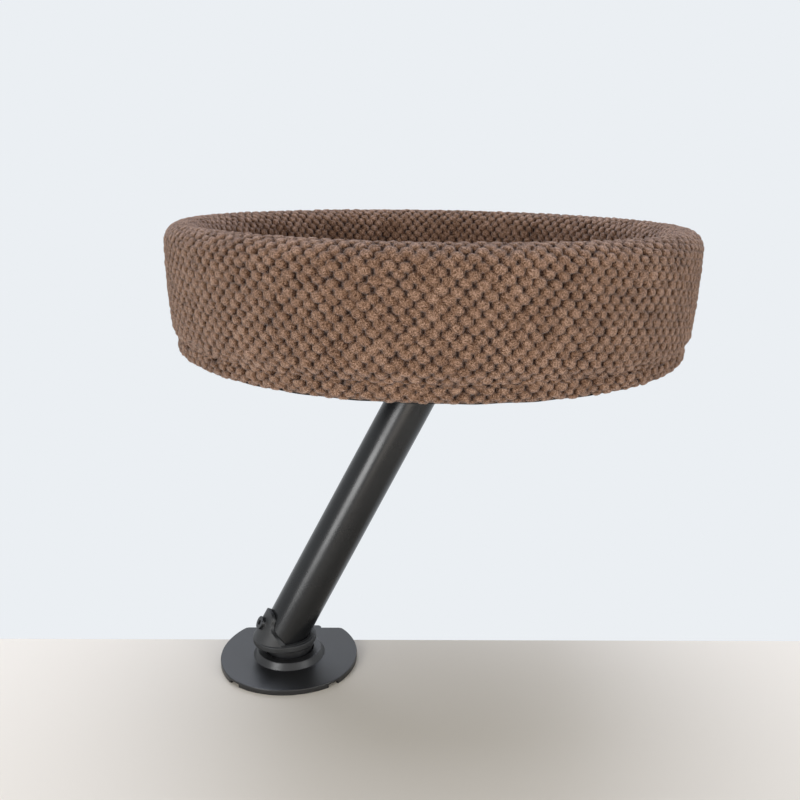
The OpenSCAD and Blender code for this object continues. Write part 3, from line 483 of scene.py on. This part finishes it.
def ringPlush(name, line, stations, form, push, depthAt, heldAt):
    # A sleeve of plush turned about the bed's axis: line is its closed section, outer side first, going up
    columns, around, drift = push["columns"], form["tufts"], form["drift"]
    total = lineLength(line)
    coarse = np.linspace(0, total, push["rows"], endpoint=False)
    rough = turnProfile(alongLine(line, coarse), push["around"], bedCentre)
    held = np.tile(heldAt(coarse), push["around"])
    shift = swell(name + "Cloth", rough.reshape(-1, 3), [gridFaces(push["around"], push["rows"], True)],
                  held, push).reshape(rough.shape)
    shift = cubicPick(shift, np.arange(columns) * push["around"] / columns, True)
    shift = cubicPick(shift.transpose(1, 0, 2), stations / total * push["rows"], True).transpose(1, 0, 2)
    fine = turnProfile(alongLine(line, stations), columns, bedCentre) + shift
    angle = np.linspace(0, around, columns, endpoint=False)[:, None] + 0 * stations[None, :]
    rows = round(total / pile["up"])
    place = stations[None, :] / total * rows + drift * angle / around
    wander = [amount * softNoise(fine, size, form["seed"] + k)
              for k, (amount, size) in enumerate(pile["wander"])]
    heights = tuftHeights(angle + wander[0], place + wander[1], around, rows, drift, form["seed"])
    depth = np.repeat(depthAt(stations)[None, :], columns, 0)
    piece = newPiece(name, fine.reshape(-1, 3), [gridFaces(columns, len(stations), True)], "plush")
    raisePile(piece, heights.ravel(), depth.ravel())
    return piece


# Padded wall: one sleeve of plush over a foam ring

wallLow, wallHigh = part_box("wall_cover")
bedCentre = ((wallLow.x + wallHigh.x) / 2, (wallLow.y + wallHigh.y) / 2)
wall = {
    "radius": (wallHigh.x - wallLow.x) / 2 - 1.4 * mm,  # the filling swells it back out
    "low": wallLow.z - 0.8 * mm,  # its lowest tufts press into those of the band
    "high": wallHigh.z - 0.8 * mm,
    "thick": 28.4 * mm,
    "drawIn": 3.6 * mm,
    "belly": 1.0 * mm,
    "corner": 3 * mm,
    "tufts": 130,
    "drift": 13,  # rows that the lattice rises in going once round
    "step": 0.9 * mm,
    "hiddenStep": 2.4 * mm,
    "hiddenDepth": 0.4 * mm,
    "sewn": 2 * mm,  # foot of the outer side that its seam holds
    "seed": 11,
}
wallCloth = {"around": 150, "rows": 44, "columns": 1440, "tension": 22, "bending": 0.4, "pressure": 3.0,
             "slack": -0.015, "frames": 18, "cap": 2.2 * mm}


def wallLine(w):
    half, corner = w["thick"] / 2, w["corner"]
    out = w["radius"] - w["drawIn"]
    back = w["radius"] - w["thick"]
    foot = back + w["drawIn"] / 2
    low, high = w["low"] + corner, w["high"] - half
    rise = np.linspace(0, 1, num=24)
    outer = [(out + w["drawIn"] * t + w["belly"] * math.sin(math.pi * t), low + (high - low) * t)
             for t in rise]
    inner = [(back + (foot - w["radius"] + w["thick"]) * t, high + (low - high) * t) for t in rise]
    return (outer + arcPoints((w["radius"] - half, high), half, 0, 180, steps=32) + inner
            + arcPoints((foot + corner, low), corner, 180, 270)
            + arcPoints((out - corner, low), corner, 270, 360))


wallSection = wallLine(wall)
wallTotal = lineLength(wallSection)
wallSeen = wallTotal - wall["thick"] - 2 * wall["corner"]  # past here the sleeve turns under, out of sight
wallFoot = wallTotal - 2 * wall["corner"]
wallStations = np.concatenate([np.arange(0, wallSeen, wall["step"]),
                               np.arange(wallSeen, wallFoot, wall["hiddenStep"]),
                               np.arange(wallFoot, wallTotal, wall["step"])])
wallPlush = ringPlush(
    "wallPlush", wallSection, wallStations, wall, wallCloth,
    lambda s: np.where((s < wallSeen) | (s > wallFoot), pile["depth"], wall["hiddenDepth"]),
    lambda s: (s > wallSeen) | (s < wall["sewn"]))
hold(wallPlush, "plush", "bed", "wall_cover")
print("wall sleeve made:", len(wallPlush.data.polygons), "faces")


# Plush round the edge of the board, turned in below

bandLow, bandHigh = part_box("edge_band")
boardLow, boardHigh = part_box("bed_board")
band = {
    "radius": (bandHigh.x - bandLow.x) / 2 - 0.6 * mm,  # the filling swells it back out
    "board": (boardHigh.x - boardLow.x) / 2,
    "low": bandLow.z,
    "high": bandHigh.z + 2.4 * mm,
    "under": boardLow.z,
    "hem": 26 * mm,
    "flat": 5 * mm,  # inside the board's edge, where the hem leaves the board
    "belly": 4.6 * mm,
    "droop": 2.4 * mm,  # the rolled edge hangs below the hem
    "tufts": 126,
    "drift": 0,
    "depth": 3.7 * mm,
    "hemDepth": 0.5 * mm,
    "topDepth": 0.3 * mm,
    "hemRise": (6 * mm, 5 * mm),  # before the roll the pile starts to rise, and how far on it is full
    "topFall": 2 * mm,
    "topHeld": 3 * mm,
    "step": 0.9 * mm,
    "hiddenStep": 3 * mm,
    "seed": 23,
}
bandCloth = {"around": 150, "rows": 30, "columns": 1400, "tension": 18, "bending": 0.3, "pressure": 3.0,
             "slack": -0.03, "frames": 14, "cap": 1.6 * mm}


def bandLine(b):
    inner, edge, low = b["board"] - b["hem"], b["radius"] - b["belly"], b["low"] - b["droop"]
    return ([(inner, b["low"]), (b["board"] - b["flat"], b["low"])]
            + arcPoints((edge, low + b["belly"]), b["belly"], -90, 0)
            + arcPoints((edge, b["high"] - b["belly"]), b["belly"], 0, 90)
            + [(b["board"], b["high"]), (b["board"], b["under"]), (inner, b["under"])])


bandSection = bandLine(band)
bandTotal = lineLength(bandSection)
bandStart = band["radius"] - band["belly"] - band["board"] + band["hem"] - band["hemRise"][0]
bandEnd = lineLength(bandSection[:-2])
bandStations = np.concatenate([np.arange(0, bandStart, band["hiddenStep"]),
                               np.arange(bandStart, bandEnd, band["step"]),
                               np.arange(bandEnd, bandTotal, band["hiddenStep"])])
bandPlush = ringPlush(
    "bandPlush", bandSection, bandStations, band, bandCloth,
    lambda s: np.interp(s, [bandStart, bandStart + band["hemRise"][1], bandEnd - band["topFall"], bandEnd],
                        [band["hemDepth"], band["depth"], band["depth"], band["topDepth"]]),
    lambda s: (s < bandStart) | (s > bandEnd - band["topHeld"]))
hold(bandPlush, "plush", "bed", "edge_band")
print("edge band made:", len(bandPlush.data.polygons), "faces")


# Floor pad: a round cushion, crowned on top and drawn in at its seam

padLow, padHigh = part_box("pad_cover")
pad = {
    "radius": (padHigh.x - padLow.x) / 2 + 1.6 * mm,  # pressed against the wall all round
    "low": padLow.z,
    "high": padHigh.z,
    "seam": 10 * mm,
    "shoulder": 25 * mm,
    "shoulderShare": 0.75,
    "inset": 12 * mm,  # from the rim to the middle of the lower roll
    "roll": 8 * mm,
    "grid": 300,
    "wander": ((0.12, 60 * mm, 31), (0.12, 70 * mm, 32)),  # as the pile's, with a seed each
    "seed": 37,
    "belowRings": 7,
    "belowHeight": 0.8,
    "belowDepth": 0.3 * mm,
}
padCloth = {"around": 96, "rows": 26, "tension": 12, "bending": 0.3, "pressure": 2.6, "slack": -0.02,
            "frames": 18, "cap": 5 * mm, "sewn": 4 * mm, "lying": 30 * mm}


def padLines(p):
    flat = p["radius"] * p["shoulderShare"]
    seam, shoulder, top = p["low"] + p["seam"], p["low"] + p["shoulder"], p["high"]
    edge = p["radius"] - flat
    crown = [(flat * u, top - (top - shoulder) * u * u) for u in np.linspace(0, 1, num=24)]
    fall = [(flat + edge * math.cos(a), seam + (shoulder - seam) * math.sin(a))
            for a in np.radians(np.linspace(90, 0, num=24))]
    under = ([(p["radius"], seam)]
             + arcPoints((p["radius"] - p["inset"], p["low"] + p["roll"]), p["roll"], 0, -90)
             + [(0, p["low"])])
    return crown + fall[1:], under


def discGrid(count):
    # Even square grid laid on a disc: columns of points with their radius share and angle
    a, b = np.meshgrid(np.linspace(-1, 1, count + 1), np.linspace(-1, 1, count + 1), indexing="ij")
    wide = np.abs(a) >= np.abs(b)
    r = np.where(wide, a, b)
    safe = np.where(r == 0, 1, r)
    turn = np.where(wide, math.pi / 4 * b / safe, math.pi / 2 - math.pi / 4 * a / safe)
    return np.abs(r), np.arctan2(r * np.sin(turn), r * np.cos(turn))


def swellPad(push, top, under):
    # Coarse cloth in rings, sewn at the seam and lying on the board: how far each ring moves, and its place
    full, reach = top + under[1:], lineLength(top)
    stations = np.linspace(0, lineLength(full), push["rows"] + 2)[1:-1]
    points = turnProfile(alongLine(full, stations), push["around"], bedCentre).reshape(-1, 3)
    ends = np.array([[*bedCentre, full[0][1]], [*bedCentre, full[-1][1]]])
    first = np.arange(push["around"]) * push["rows"]
    beyond, last = np.roll(first, -1), push["rows"] - 1
    faces = [gridFaces(push["around"], push["rows"], False)[:, ::-1],
             np.stack([first, beyond, np.full(len(first), len(points))], 1),
             np.stack([beyond + last, first + last, np.full(len(first), len(points) + 1)], 1)]
    fast = (np.abs(stations - reach) < push["sewn"]) | (stations > reach + push["lying"])
    held = np.concatenate([np.tile(fast, push["around"]), [False, True]])
    shift = swell("padCloth", np.concatenate([points, ends]), faces, held, push)
    middle = np.repeat(shift[None, None, len(points)], push["around"], 0)
    rings = shift[:len(points)].reshape(push["around"], push["rows"], 3)
    return np.concatenate([middle, rings], 1), np.concatenate([[0], stations])


def carryShift(points, rings, place, reach, angle):
    # Points moved as the coarse rings move, at their reach along the top and their angle
    at = np.interp(reach, place, np.arange(len(place)))
    low = np.clip(np.floor(at).astype(int), 0, len(place) - 2)
    part = (at - low)[:, None]
    turn = (angle / (2 * math.pi) * len(rings)) % len(rings)
    first, weight = np.floor(turn).astype(int) % len(rings), (turn % 1)[:, None]
    second = (first + 1) % len(rings)
    nearer = rings[first, low] * (1 - weight) + rings[second, low] * weight
    farther = rings[first, low + 1] * (1 - weight) + rings[second, low + 1] * weight
    return points + nearer * (1 - part) + farther * part


def makePad(p, push):
    top, under = padLines(p)
    share, angle = (part.ravel() for part in discGrid(p["grid"]))
    reach = share * lineLength(top)
    line = alongLine(top, reach)
    x, y = line[:, 0] * np.cos(angle), line[:, 0] * np.sin(angle)
    fine = np.stack([bedCentre[0] + x, bedCentre[1] + y, line[:, 1]], 1)
    fine = carryShift(fine, *swellPad(push, top, under), reach, angle)

    # The underside, in rings that share the rim of the top
    count = p["grid"] + 1
    index = np.arange(count * count).reshape(count, count)
    rim = np.concatenate([index[:-1, 0], index[-1, :-1], index[:0:-1, -1], index[0, :0:-1]])
    steps = np.linspace(0, lineLength(under), p["belowRings"] + 1)[1:-1]
    below = [np.stack([bedCentre[0] + r * np.cos(angle[rim]), bedCentre[1] + r * np.sin(angle[rim]),
                       np.full(len(rim), z)], 1) for r, z in alongLine(under, steps)]
    loops = [rim] + [len(fine) + k * len(rim) + np.arange(len(rim)) for k in range(len(below))]
    points = np.concatenate([fine, *below, [[*bedCentre, p["low"]]]])
    faces = [np.stack([index[:-1, :-1].ravel(), index[1:, :-1].ravel(), index[1:, 1:].ravel(),
                       index[:-1, 1:].ravel()], 1)]
    for upper, lower in zip(loops, loops[1:]):
        faces.append(np.stack([upper, lower, np.roll(lower, -1), np.roll(upper, -1)], 1))
    tip = np.full(len(rim), len(points) - 1)
    faces.append(np.stack([loops[-1], tip, np.roll(loops[-1], -1)], 1))
    piece = newPiece("padPlush", points, faces, "plush")

    # Tufts on the top, next to none below
    spot = fine * [1, 1, 0]
    wander = [amount * softNoise(spot, size, seed) for amount, size, seed in p["wander"]]
    across = reach * np.cos(angle) / pile["across"] + wander[0]
    up = reach * np.sin(angle) / pile["up"] + wander[1]
    rest = len(points) - len(fine)
    heights = np.concatenate([tuftHeights(across, up, 0, 0, 0, p["seed"]), np.full(rest, p["belowHeight"])])
    depth = np.concatenate([np.full(len(fine), pile["depth"]), np.full(rest, p["belowDepth"])])
    raisePile(piece, heights, depth)
    return piece


padPlush = makePad(pad, padCloth)
hold(padPlush, "plush", "bed", "pad_cover")
print("floor pad made:", len(padPlush.data.polygons), "faces")


# Foam inside the wall and the pad, cut a little smaller than the plush over it

foam = {
    "under": 6.2 * mm,  # from the plush's outline to the foam
    "crownShare": 1.6,  # of that, under the pad's top, where the creases are deepest
    "wallFoot": 2 * mm,
    "padFoot": 1 * mm,
    "columns": 180,
}


def turnRing(name, section, columns, slotName):
    # A closed section turned about the bed's axis, outer side going up
    points = turnProfile(np.asarray(section, float), columns, bedCentre)
    return newPiece(name, points.reshape(-1, 3), [gridFaces(columns, len(section), True)], slotName)


def turnSolid(name, profile, columns, centre, slotName, push=None):
    # A profile from its low end on the axis to its high end on the axis, turned and closed at both poles
    rings = turnProfile(np.asarray(profile[1:-1], float), columns, centre)
    if push:
        rings = push(rings)
    count = len(profile) - 2
    first = np.arange(columns) * count
    beyond = np.roll(first, -1)
    total = columns * count
    faces = [gridFaces(columns, count, False), np.stack([beyond, first, np.full(columns, total)], 1),
             np.stack([first + count - 1, beyond + count - 1, np.full(columns, total + 1)], 1)]
    ends = [[*centre, profile[0][1]], [*centre, profile[-1][1]]]
    return newPiece(name, np.concatenate([rings.reshape(-1, 3), ends]), faces, slotName)


foamWall = dict(wall, radius=wall["radius"] - foam["under"], thick=wall["thick"] - 2 * foam["under"],
                low=wall["low"] + foam["wallFoot"], high=wall["high"] - foam["under"])
wallFoam = turnRing("wallFoam", wallLine(foamWall), foam["columns"], "foam")
hold(wallFoam, "foam", "bed", "wall_foam")
foamPad = dict(pad, radius=pad["radius"] - foam["under"], low=pad["low"] + foam["padFoot"],
               high=pad["high"] - foam["crownShare"] * foam["under"],
               shoulder=pad["shoulder"] - foam["crownShare"] * foam["under"])
foamTop, foamLow = padLines(foamPad)
padFoam = turnSolid("padFoam", foamLow[::-1] + foamTop[::-1][1:], foam["columns"], bedCentre, "foam")
hold(padFoam, "foam", "bed", "pad_foam")
print("foam made")


# Dust cloth stapled under the board

clothLow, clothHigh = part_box("dust_cloth")
cloth = {
    "radius": (clothHigh.x - clothLow.x) / 2,
    "low": clothLow.z,
    "high": clothHigh.z - 0.6 * mm,  # where it lies against the board inside the plush's hem
    "hole": 13 * mm,
    "thick": 0.45 * mm,
    "slope": 3 * mm,  # in which it steps down onto the hem
    "staples": 32,
    "stapleAt": 184 * mm,
    "pucker": 26 * mm,  # how far from the staples their pull shows
    "sag": 0.7 * mm,
    "pressed": 84 * mm,  # the bed plate presses it flat inside this
    "easing": 30 * mm,
    "wrinkle": 33 * mm,
    "seed": 51,
    "columns": 320,
    "step": 2.4 * mm,
}


def makeCloth(c):
    turned = band["board"] - band["hem"]
    line = [(c["hole"], c["high"]), (turned - c["slope"], c["high"]), (turned, c["low"]),
            (c["radius"], c["low"])]
    below = alongLine(line, np.arange(0, lineLength(line), c["step"]))
    section = np.concatenate([below, below[::-1] + [0, c["thick"]]])
    points = turnProfile(section, c["columns"], bedCentre)
    away = points[..., :2] - bedCentre
    reach, angle = np.hypot(away[..., 0], away[..., 1]), np.arctan2(away[..., 1], away[..., 0])
    free = np.clip((reach - c["pressed"]) / c["easing"], 0, 1)
    pulled = (1 - np.cos(c["staples"] * angle)) / 2  # 0 at a staple, 1 midway
    near = np.clip(1 - np.abs(reach - c["stapleAt"]) / c["pucker"], 0, 1)
    loose = 0.5 + 0.5 * softNoise(points, c["wrinkle"], c["seed"])
    points[..., 2] -= c["sag"] * free * (loose * (1 - near) + pulled * near)
    faces = [gridFaces(c["columns"], len(section), True)]
    piece = newPiece("dustCloth", points.reshape(-1, 3), faces, "dust_fabric")
    return hold(piece, "dust_fabric", "bed", "dust_cloth")


dustCloth = makeCloth(cloth)
print("dust cloth made")


# Small shapes repeated round a circle with Geometry Nodes: staples, and ripples of a weld

nutLow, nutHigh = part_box("clamp_nut")
staple = {
    "kind": "GeometryNodeMeshCylinder",
    "sizes": {"Vertices": 8, "Radius": 0.4 * mm, "Depth": 10 * mm},
    "lay": (math.pi / 2, 0, 0),
    "stretch": (1, 1, 0.8),
    "ring": {"Count": cloth["staples"], "Radius": cloth["stapleAt"], "Uneven": 0.12, "Seed": 4},
    "proud": 0.15 * mm,  # below the cloth
}
bead = {
    "kind": "GeometryNodeMeshUVSphere",
    "sizes": {"Segments": 14, "Rings": 8, "Radius": 1.3 * mm},
    "lay": (0, 0, 0),
    "stretch": (1, 1.1, 0.9),
    "ring": {"Count": 44, "Radius": (nutHigh.x - nutLow.x) / 2 + 0.1 * mm, "Uneven": 0.2, "Seed": 9},
    "sunk": 0.5 * mm,  # below the nut's top
}


def ringTree(name, form):
    tree = bpy.data.node_groups.new(name, "GeometryNodeTree")
    for label, kind in (("Count", "Int"), ("Radius", "Float"), ("Uneven", "Float"), ("Seed", "Int"),
                        ("Finish", "Material")):
        tree.interface.new_socket(label, in_out="INPUT", socket_type="NodeSocket" + kind)
    tree.interface.new_socket("Geometry", in_out="OUTPUT", socket_type="NodeSocketGeometry")
    given = addNode(tree, "NodeGroupInput").outputs
    circle = addNode(tree, "GeometryNodeMeshCircle",
                     links={"Vertices": given["Count"], "Radius": given["Radius"]})
    shape = addNode(tree, form["kind"], form["sizes"])
    laid = addNode(tree, "GeometryNodeTransform", {"Rotation": form["lay"], "Scale": form["stretch"]},
                   {"Geometry": shape.outputs[0]})
    index = addNode(tree, "GeometryNodeInputIndex")
    share = addNode(tree, "ShaderNodeMath", {"operation": "DIVIDE"}, {0: index.outputs[0], 1: given["Count"]})
    even = addNode(tree, "ShaderNodeMath", {"operation": "MULTIPLY", 1: 2 * math.pi}, {0: share.outputs[0]})
    chance = addNode(tree, "FunctionNodeRandomValue", {"data_type": "FLOAT", 2: -1, 3: 1},
                     {"Seed": given["Seed"]})
    stray = addNode(tree, "ShaderNodeMath", {"operation": "MULTIPLY"},
                    {0: chance.outputs[1], 1: given["Uneven"]})
    turn = addNode(tree, "ShaderNodeMath", {"operation": "ADD"}, {0: even.outputs[0], 1: stray.outputs[0]})
    spin = addNode(tree, "ShaderNodeCombineXYZ", links={2: turn.outputs[0]})
    placed = addNode(tree, "GeometryNodeInstanceOnPoints",
                     links={"Points": circle.outputs[0], "Instance": laid.outputs[0],
                            "Rotation": spin.outputs[0]})
    solid = addNode(tree, "GeometryNodeRealizeInstances", links={"Geometry": placed.outputs[0]})
    painted = addNode(tree, "GeometryNodeSetMaterial",
                      links={"Geometry": solid.outputs[0], "Material": given["Finish"]})
    addNode(tree, "NodeGroupOutput", links={"Geometry": painted.outputs[0]})
    return tree


def repeatRound(name, tree, ring, centre, slotName, body):
    host = bpy.data.objects.new(name + "Host", bpy.data.meshes.new(name + "Host"))
    scene.collection.objects.link(host)
    grow = host.modifiers.new("Ring", "NODES")
    grow.node_group = tree
    values = dict(ring, Finish=finishes[slotName])
    for item in tree.interface.items_tree:
        if item.in_out == "INPUT":
            grow[item.identifier] = values[item.name]
    host.update_tag()
    mesh = bpy.data.meshes.new_from_object(host.evaluated_get(bpy.context.evaluated_depsgraph_get()))
    host.modifiers.remove(grow)
    bpy.data.objects.remove(host)
    mesh.transform(Matrix.Translation(centre))
    piece = bpy.data.objects.new(name, mesh)
    scene.collection.objects.link(piece)
    return hold(piece, slotName, body)


staples = repeatRound("clothStaples", ringTree("stapleRing", staple), staple["ring"],
                      (*bedCentre, cloth["low"] - staple["proud"]), "bright_steel", "bed")
weld = repeatRound("nutWeld", ringTree("weldRing", bead), bead["ring"],
                   (0, 0, nutHigh.z - bead["sunk"]), slotOf["clamp_nut"], "clamp")
print("staples and weld made:", len(staples.data.polygons), len(weld.data.polygons), "faces")


# Spindle with a real thread, from the knob to the neck under the ball

screwLow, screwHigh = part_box("clamp_screw")
spindle = {
    "radius": 5 * mm,
    "root": 4.15 * mm,
    "pitch": 3 * mm,
    "flank": 2.6,  # how steeply the groove's sides fall, in depths to half a pitch
    "crest": 0.35,  # how much of that the flat crest takes
    "neck": 3.6 * mm,
    "ball": 5.2 * mm,
    "shoulder": -42 * mm,
    "knobTop": -112 * mm,
    "chamfer": 0.5 * mm,
    "plain": (1 * mm, 0.8 * mm),  # between knob and thread, and between thread and shoulder
    "step": 0.25 * mm,
    "columns": 72,
}


def makeSpindle(s):
    start, stop = s["knobTop"] + s["plain"][0], s["shoulder"] - s["plain"][1]
    middle = screwHigh.z - s["ball"]
    meets = math.degrees(math.acos(s["neck"] / s["ball"]))
    profile = ([(0, screwLow.z), (s["radius"] - s["chamfer"], screwLow.z),
                (s["radius"], screwLow.z + s["chamfer"])]
               + [(s["radius"], z) for z in np.arange(start, stop, s["step"])]
               + [(s["radius"], stop), (s["root"], s["shoulder"]), (s["neck"], s["shoulder"])]
               + arcPoints((0, middle), s["ball"], -meets, 89, steps=20) + [(0, screwHigh.z)])

    def cutThread(rings):
        angle = np.arctan2(rings[..., 1], rings[..., 0])
        height = rings[..., 2]
        phase = (height / s["pitch"] - angle / (2 * math.pi)) % 1
        groove = np.clip(s["flank"] * np.abs(phase - 0.5) - s["crest"], 0, 1)
        inside = np.clip(np.minimum(height - start, stop - height) / s["pitch"], 0, 1)
        scale = 1 - (1 - s["root"] / s["radius"]) * groove * inside
        return rings * np.stack([scale, scale, np.ones_like(scale)], -1)

    piece = turnSolid("clampSpindle", profile, s["columns"], (0, 0), slotOf["clamp_screw"], cutThread)
    return hold(piece, slotOf["clamp_screw"], "spindle", "clamp_screw")


clampSpindle = makeSpindle(spindle)
print("spindle made:", len(clampSpindle.data.polygons), "faces")


# Floor, backdrop and light

studio = {
    "floor": "#ddd5c8",
    "wall": "#ebeff3",
    "edge": 28.0 * mm,  # far edge of the table top, which the clamp grips
    "reach": 2.6,
    "drop": 0.05 * mm,
    "around": 0.4,  # strength of the room's own light
}
lamps = {
    "windowLeft": {"place": (-0.85, -1.2, 0.5), "aim": (0.1, 0, 0.2), "size": (0.7, 0.5), "power": 3.3,
                   "spread": 90},
    "windowRight": {"place": (1.3, -0.95, 0.42), "aim": (0.1, 0, 0.2), "size": (0.6, 0.5), "power": 2,
                    "spread": 90},
    "deskFill": {"place": (0.45, -1.9, 0.42), "aim": (0.1, 0, 0.3), "size": (1.6, 0.6), "power": 2.5,
                 "tint": "#fff3e6", "spread": 90},
    "ceiling": {"place": (0.1, 0.2, 1.9), "aim": (0.1, 0, 0.2), "size": (1.4, 1.4), "power": 20,
                "tint": "#e6edff"},
    "skylight": {"place": (0.1, 1.1, 1.5), "aim": (0.1, 0, 0.25), "size": (1.6, 0.8), "power": 20,
                 "tint": "#e6edff"},
}


def makeStage(room):
    far, near, side, z = room["edge"], -room["reach"], room["reach"], -room["drop"]
    mesh = bpy.data.meshes.new("tableTop")
    mesh.from_pydata([(-side, near, z), (side, near, z), (side, far, z), (-side, far, z)], [], [(0, 1, 2, 3)])
    top = bpy.data.objects.new("tableTop", mesh)
    scene.collection.objects.link(top)
    material, tree, shader = newMaterial("palePaintedTop", room["floor"], roughness=0.6)
    clear = addNode(tree, "ShaderNodeBsdfTransparent")
    facing = addNode(tree, "ShaderNodeNewGeometry")
    both = addNode(tree, "ShaderNodeMixShader", links={0: facing.outputs["Backfacing"], 1: shader.outputs[0],
                                                       2: clear.outputs[0]})
    tree.links.new(both.outputs[0], tree.nodes["Material Output"].inputs[0])
    mesh.materials.append(material)


def makeWorld(room):
    world = bpy.data.worlds.new("room")
    world.use_nodes = True
    scene.world = world
    tree = world.node_tree
    tree.nodes.clear()
    path = addNode(tree, "ShaderNodeLightPath")
    through = addNode(tree, "ShaderNodeMath", {"operation": "MAXIMUM"},
                      {0: path.outputs["Is Camera Ray"], 1: path.outputs["Is Transmission Ray"]})
    seen = addNode(tree, "ShaderNodeMath", {"operation": "MAXIMUM"},
                   {0: through.outputs[0], 1: path.outputs["Is Glossy Ray"]})
    shown = addNode(tree, "ShaderNodeBackground", {"Color": srgb(room["wall"]), "Strength": 1.0})
    light = addNode(tree, "ShaderNodeBackground", {"Color": srgb(room["wall"]), "Strength": room["around"]})
    both = addNode(tree, "ShaderNodeMixShader",
                   links={0: seen.outputs[0], 1: light.outputs[0], 2: shown.outputs[0]})
    addNode(tree, "ShaderNodeOutputWorld", links={0: both.outputs[0]})


def addLamp(name, place, aim, size, power, tint="#ffffff", spread=180):
    data = bpy.data.lights.new(name, "AREA")
    data.shape = "RECTANGLE"
    data.size, data.size_y = size
    data.energy = power
    data.spread = math.radians(spread)
    data.color = srgb(tint)[:3]
    lamp = bpy.data.objects.new(name, data)
    scene.collection.objects.link(lamp)
    away = Vector(place) - Vector(aim)
    lamp.matrix_world = Matrix.Translation(place) @ away.to_track_quat("Z", "Y").to_matrix().to_4x4()


makeStage(studio)
makeWorld(studio)
for name, lamp in lamps.items():
    addLamp(name, **lamp)
scene.view_settings.view_transform = "Standard"
print("stage and lamps set")
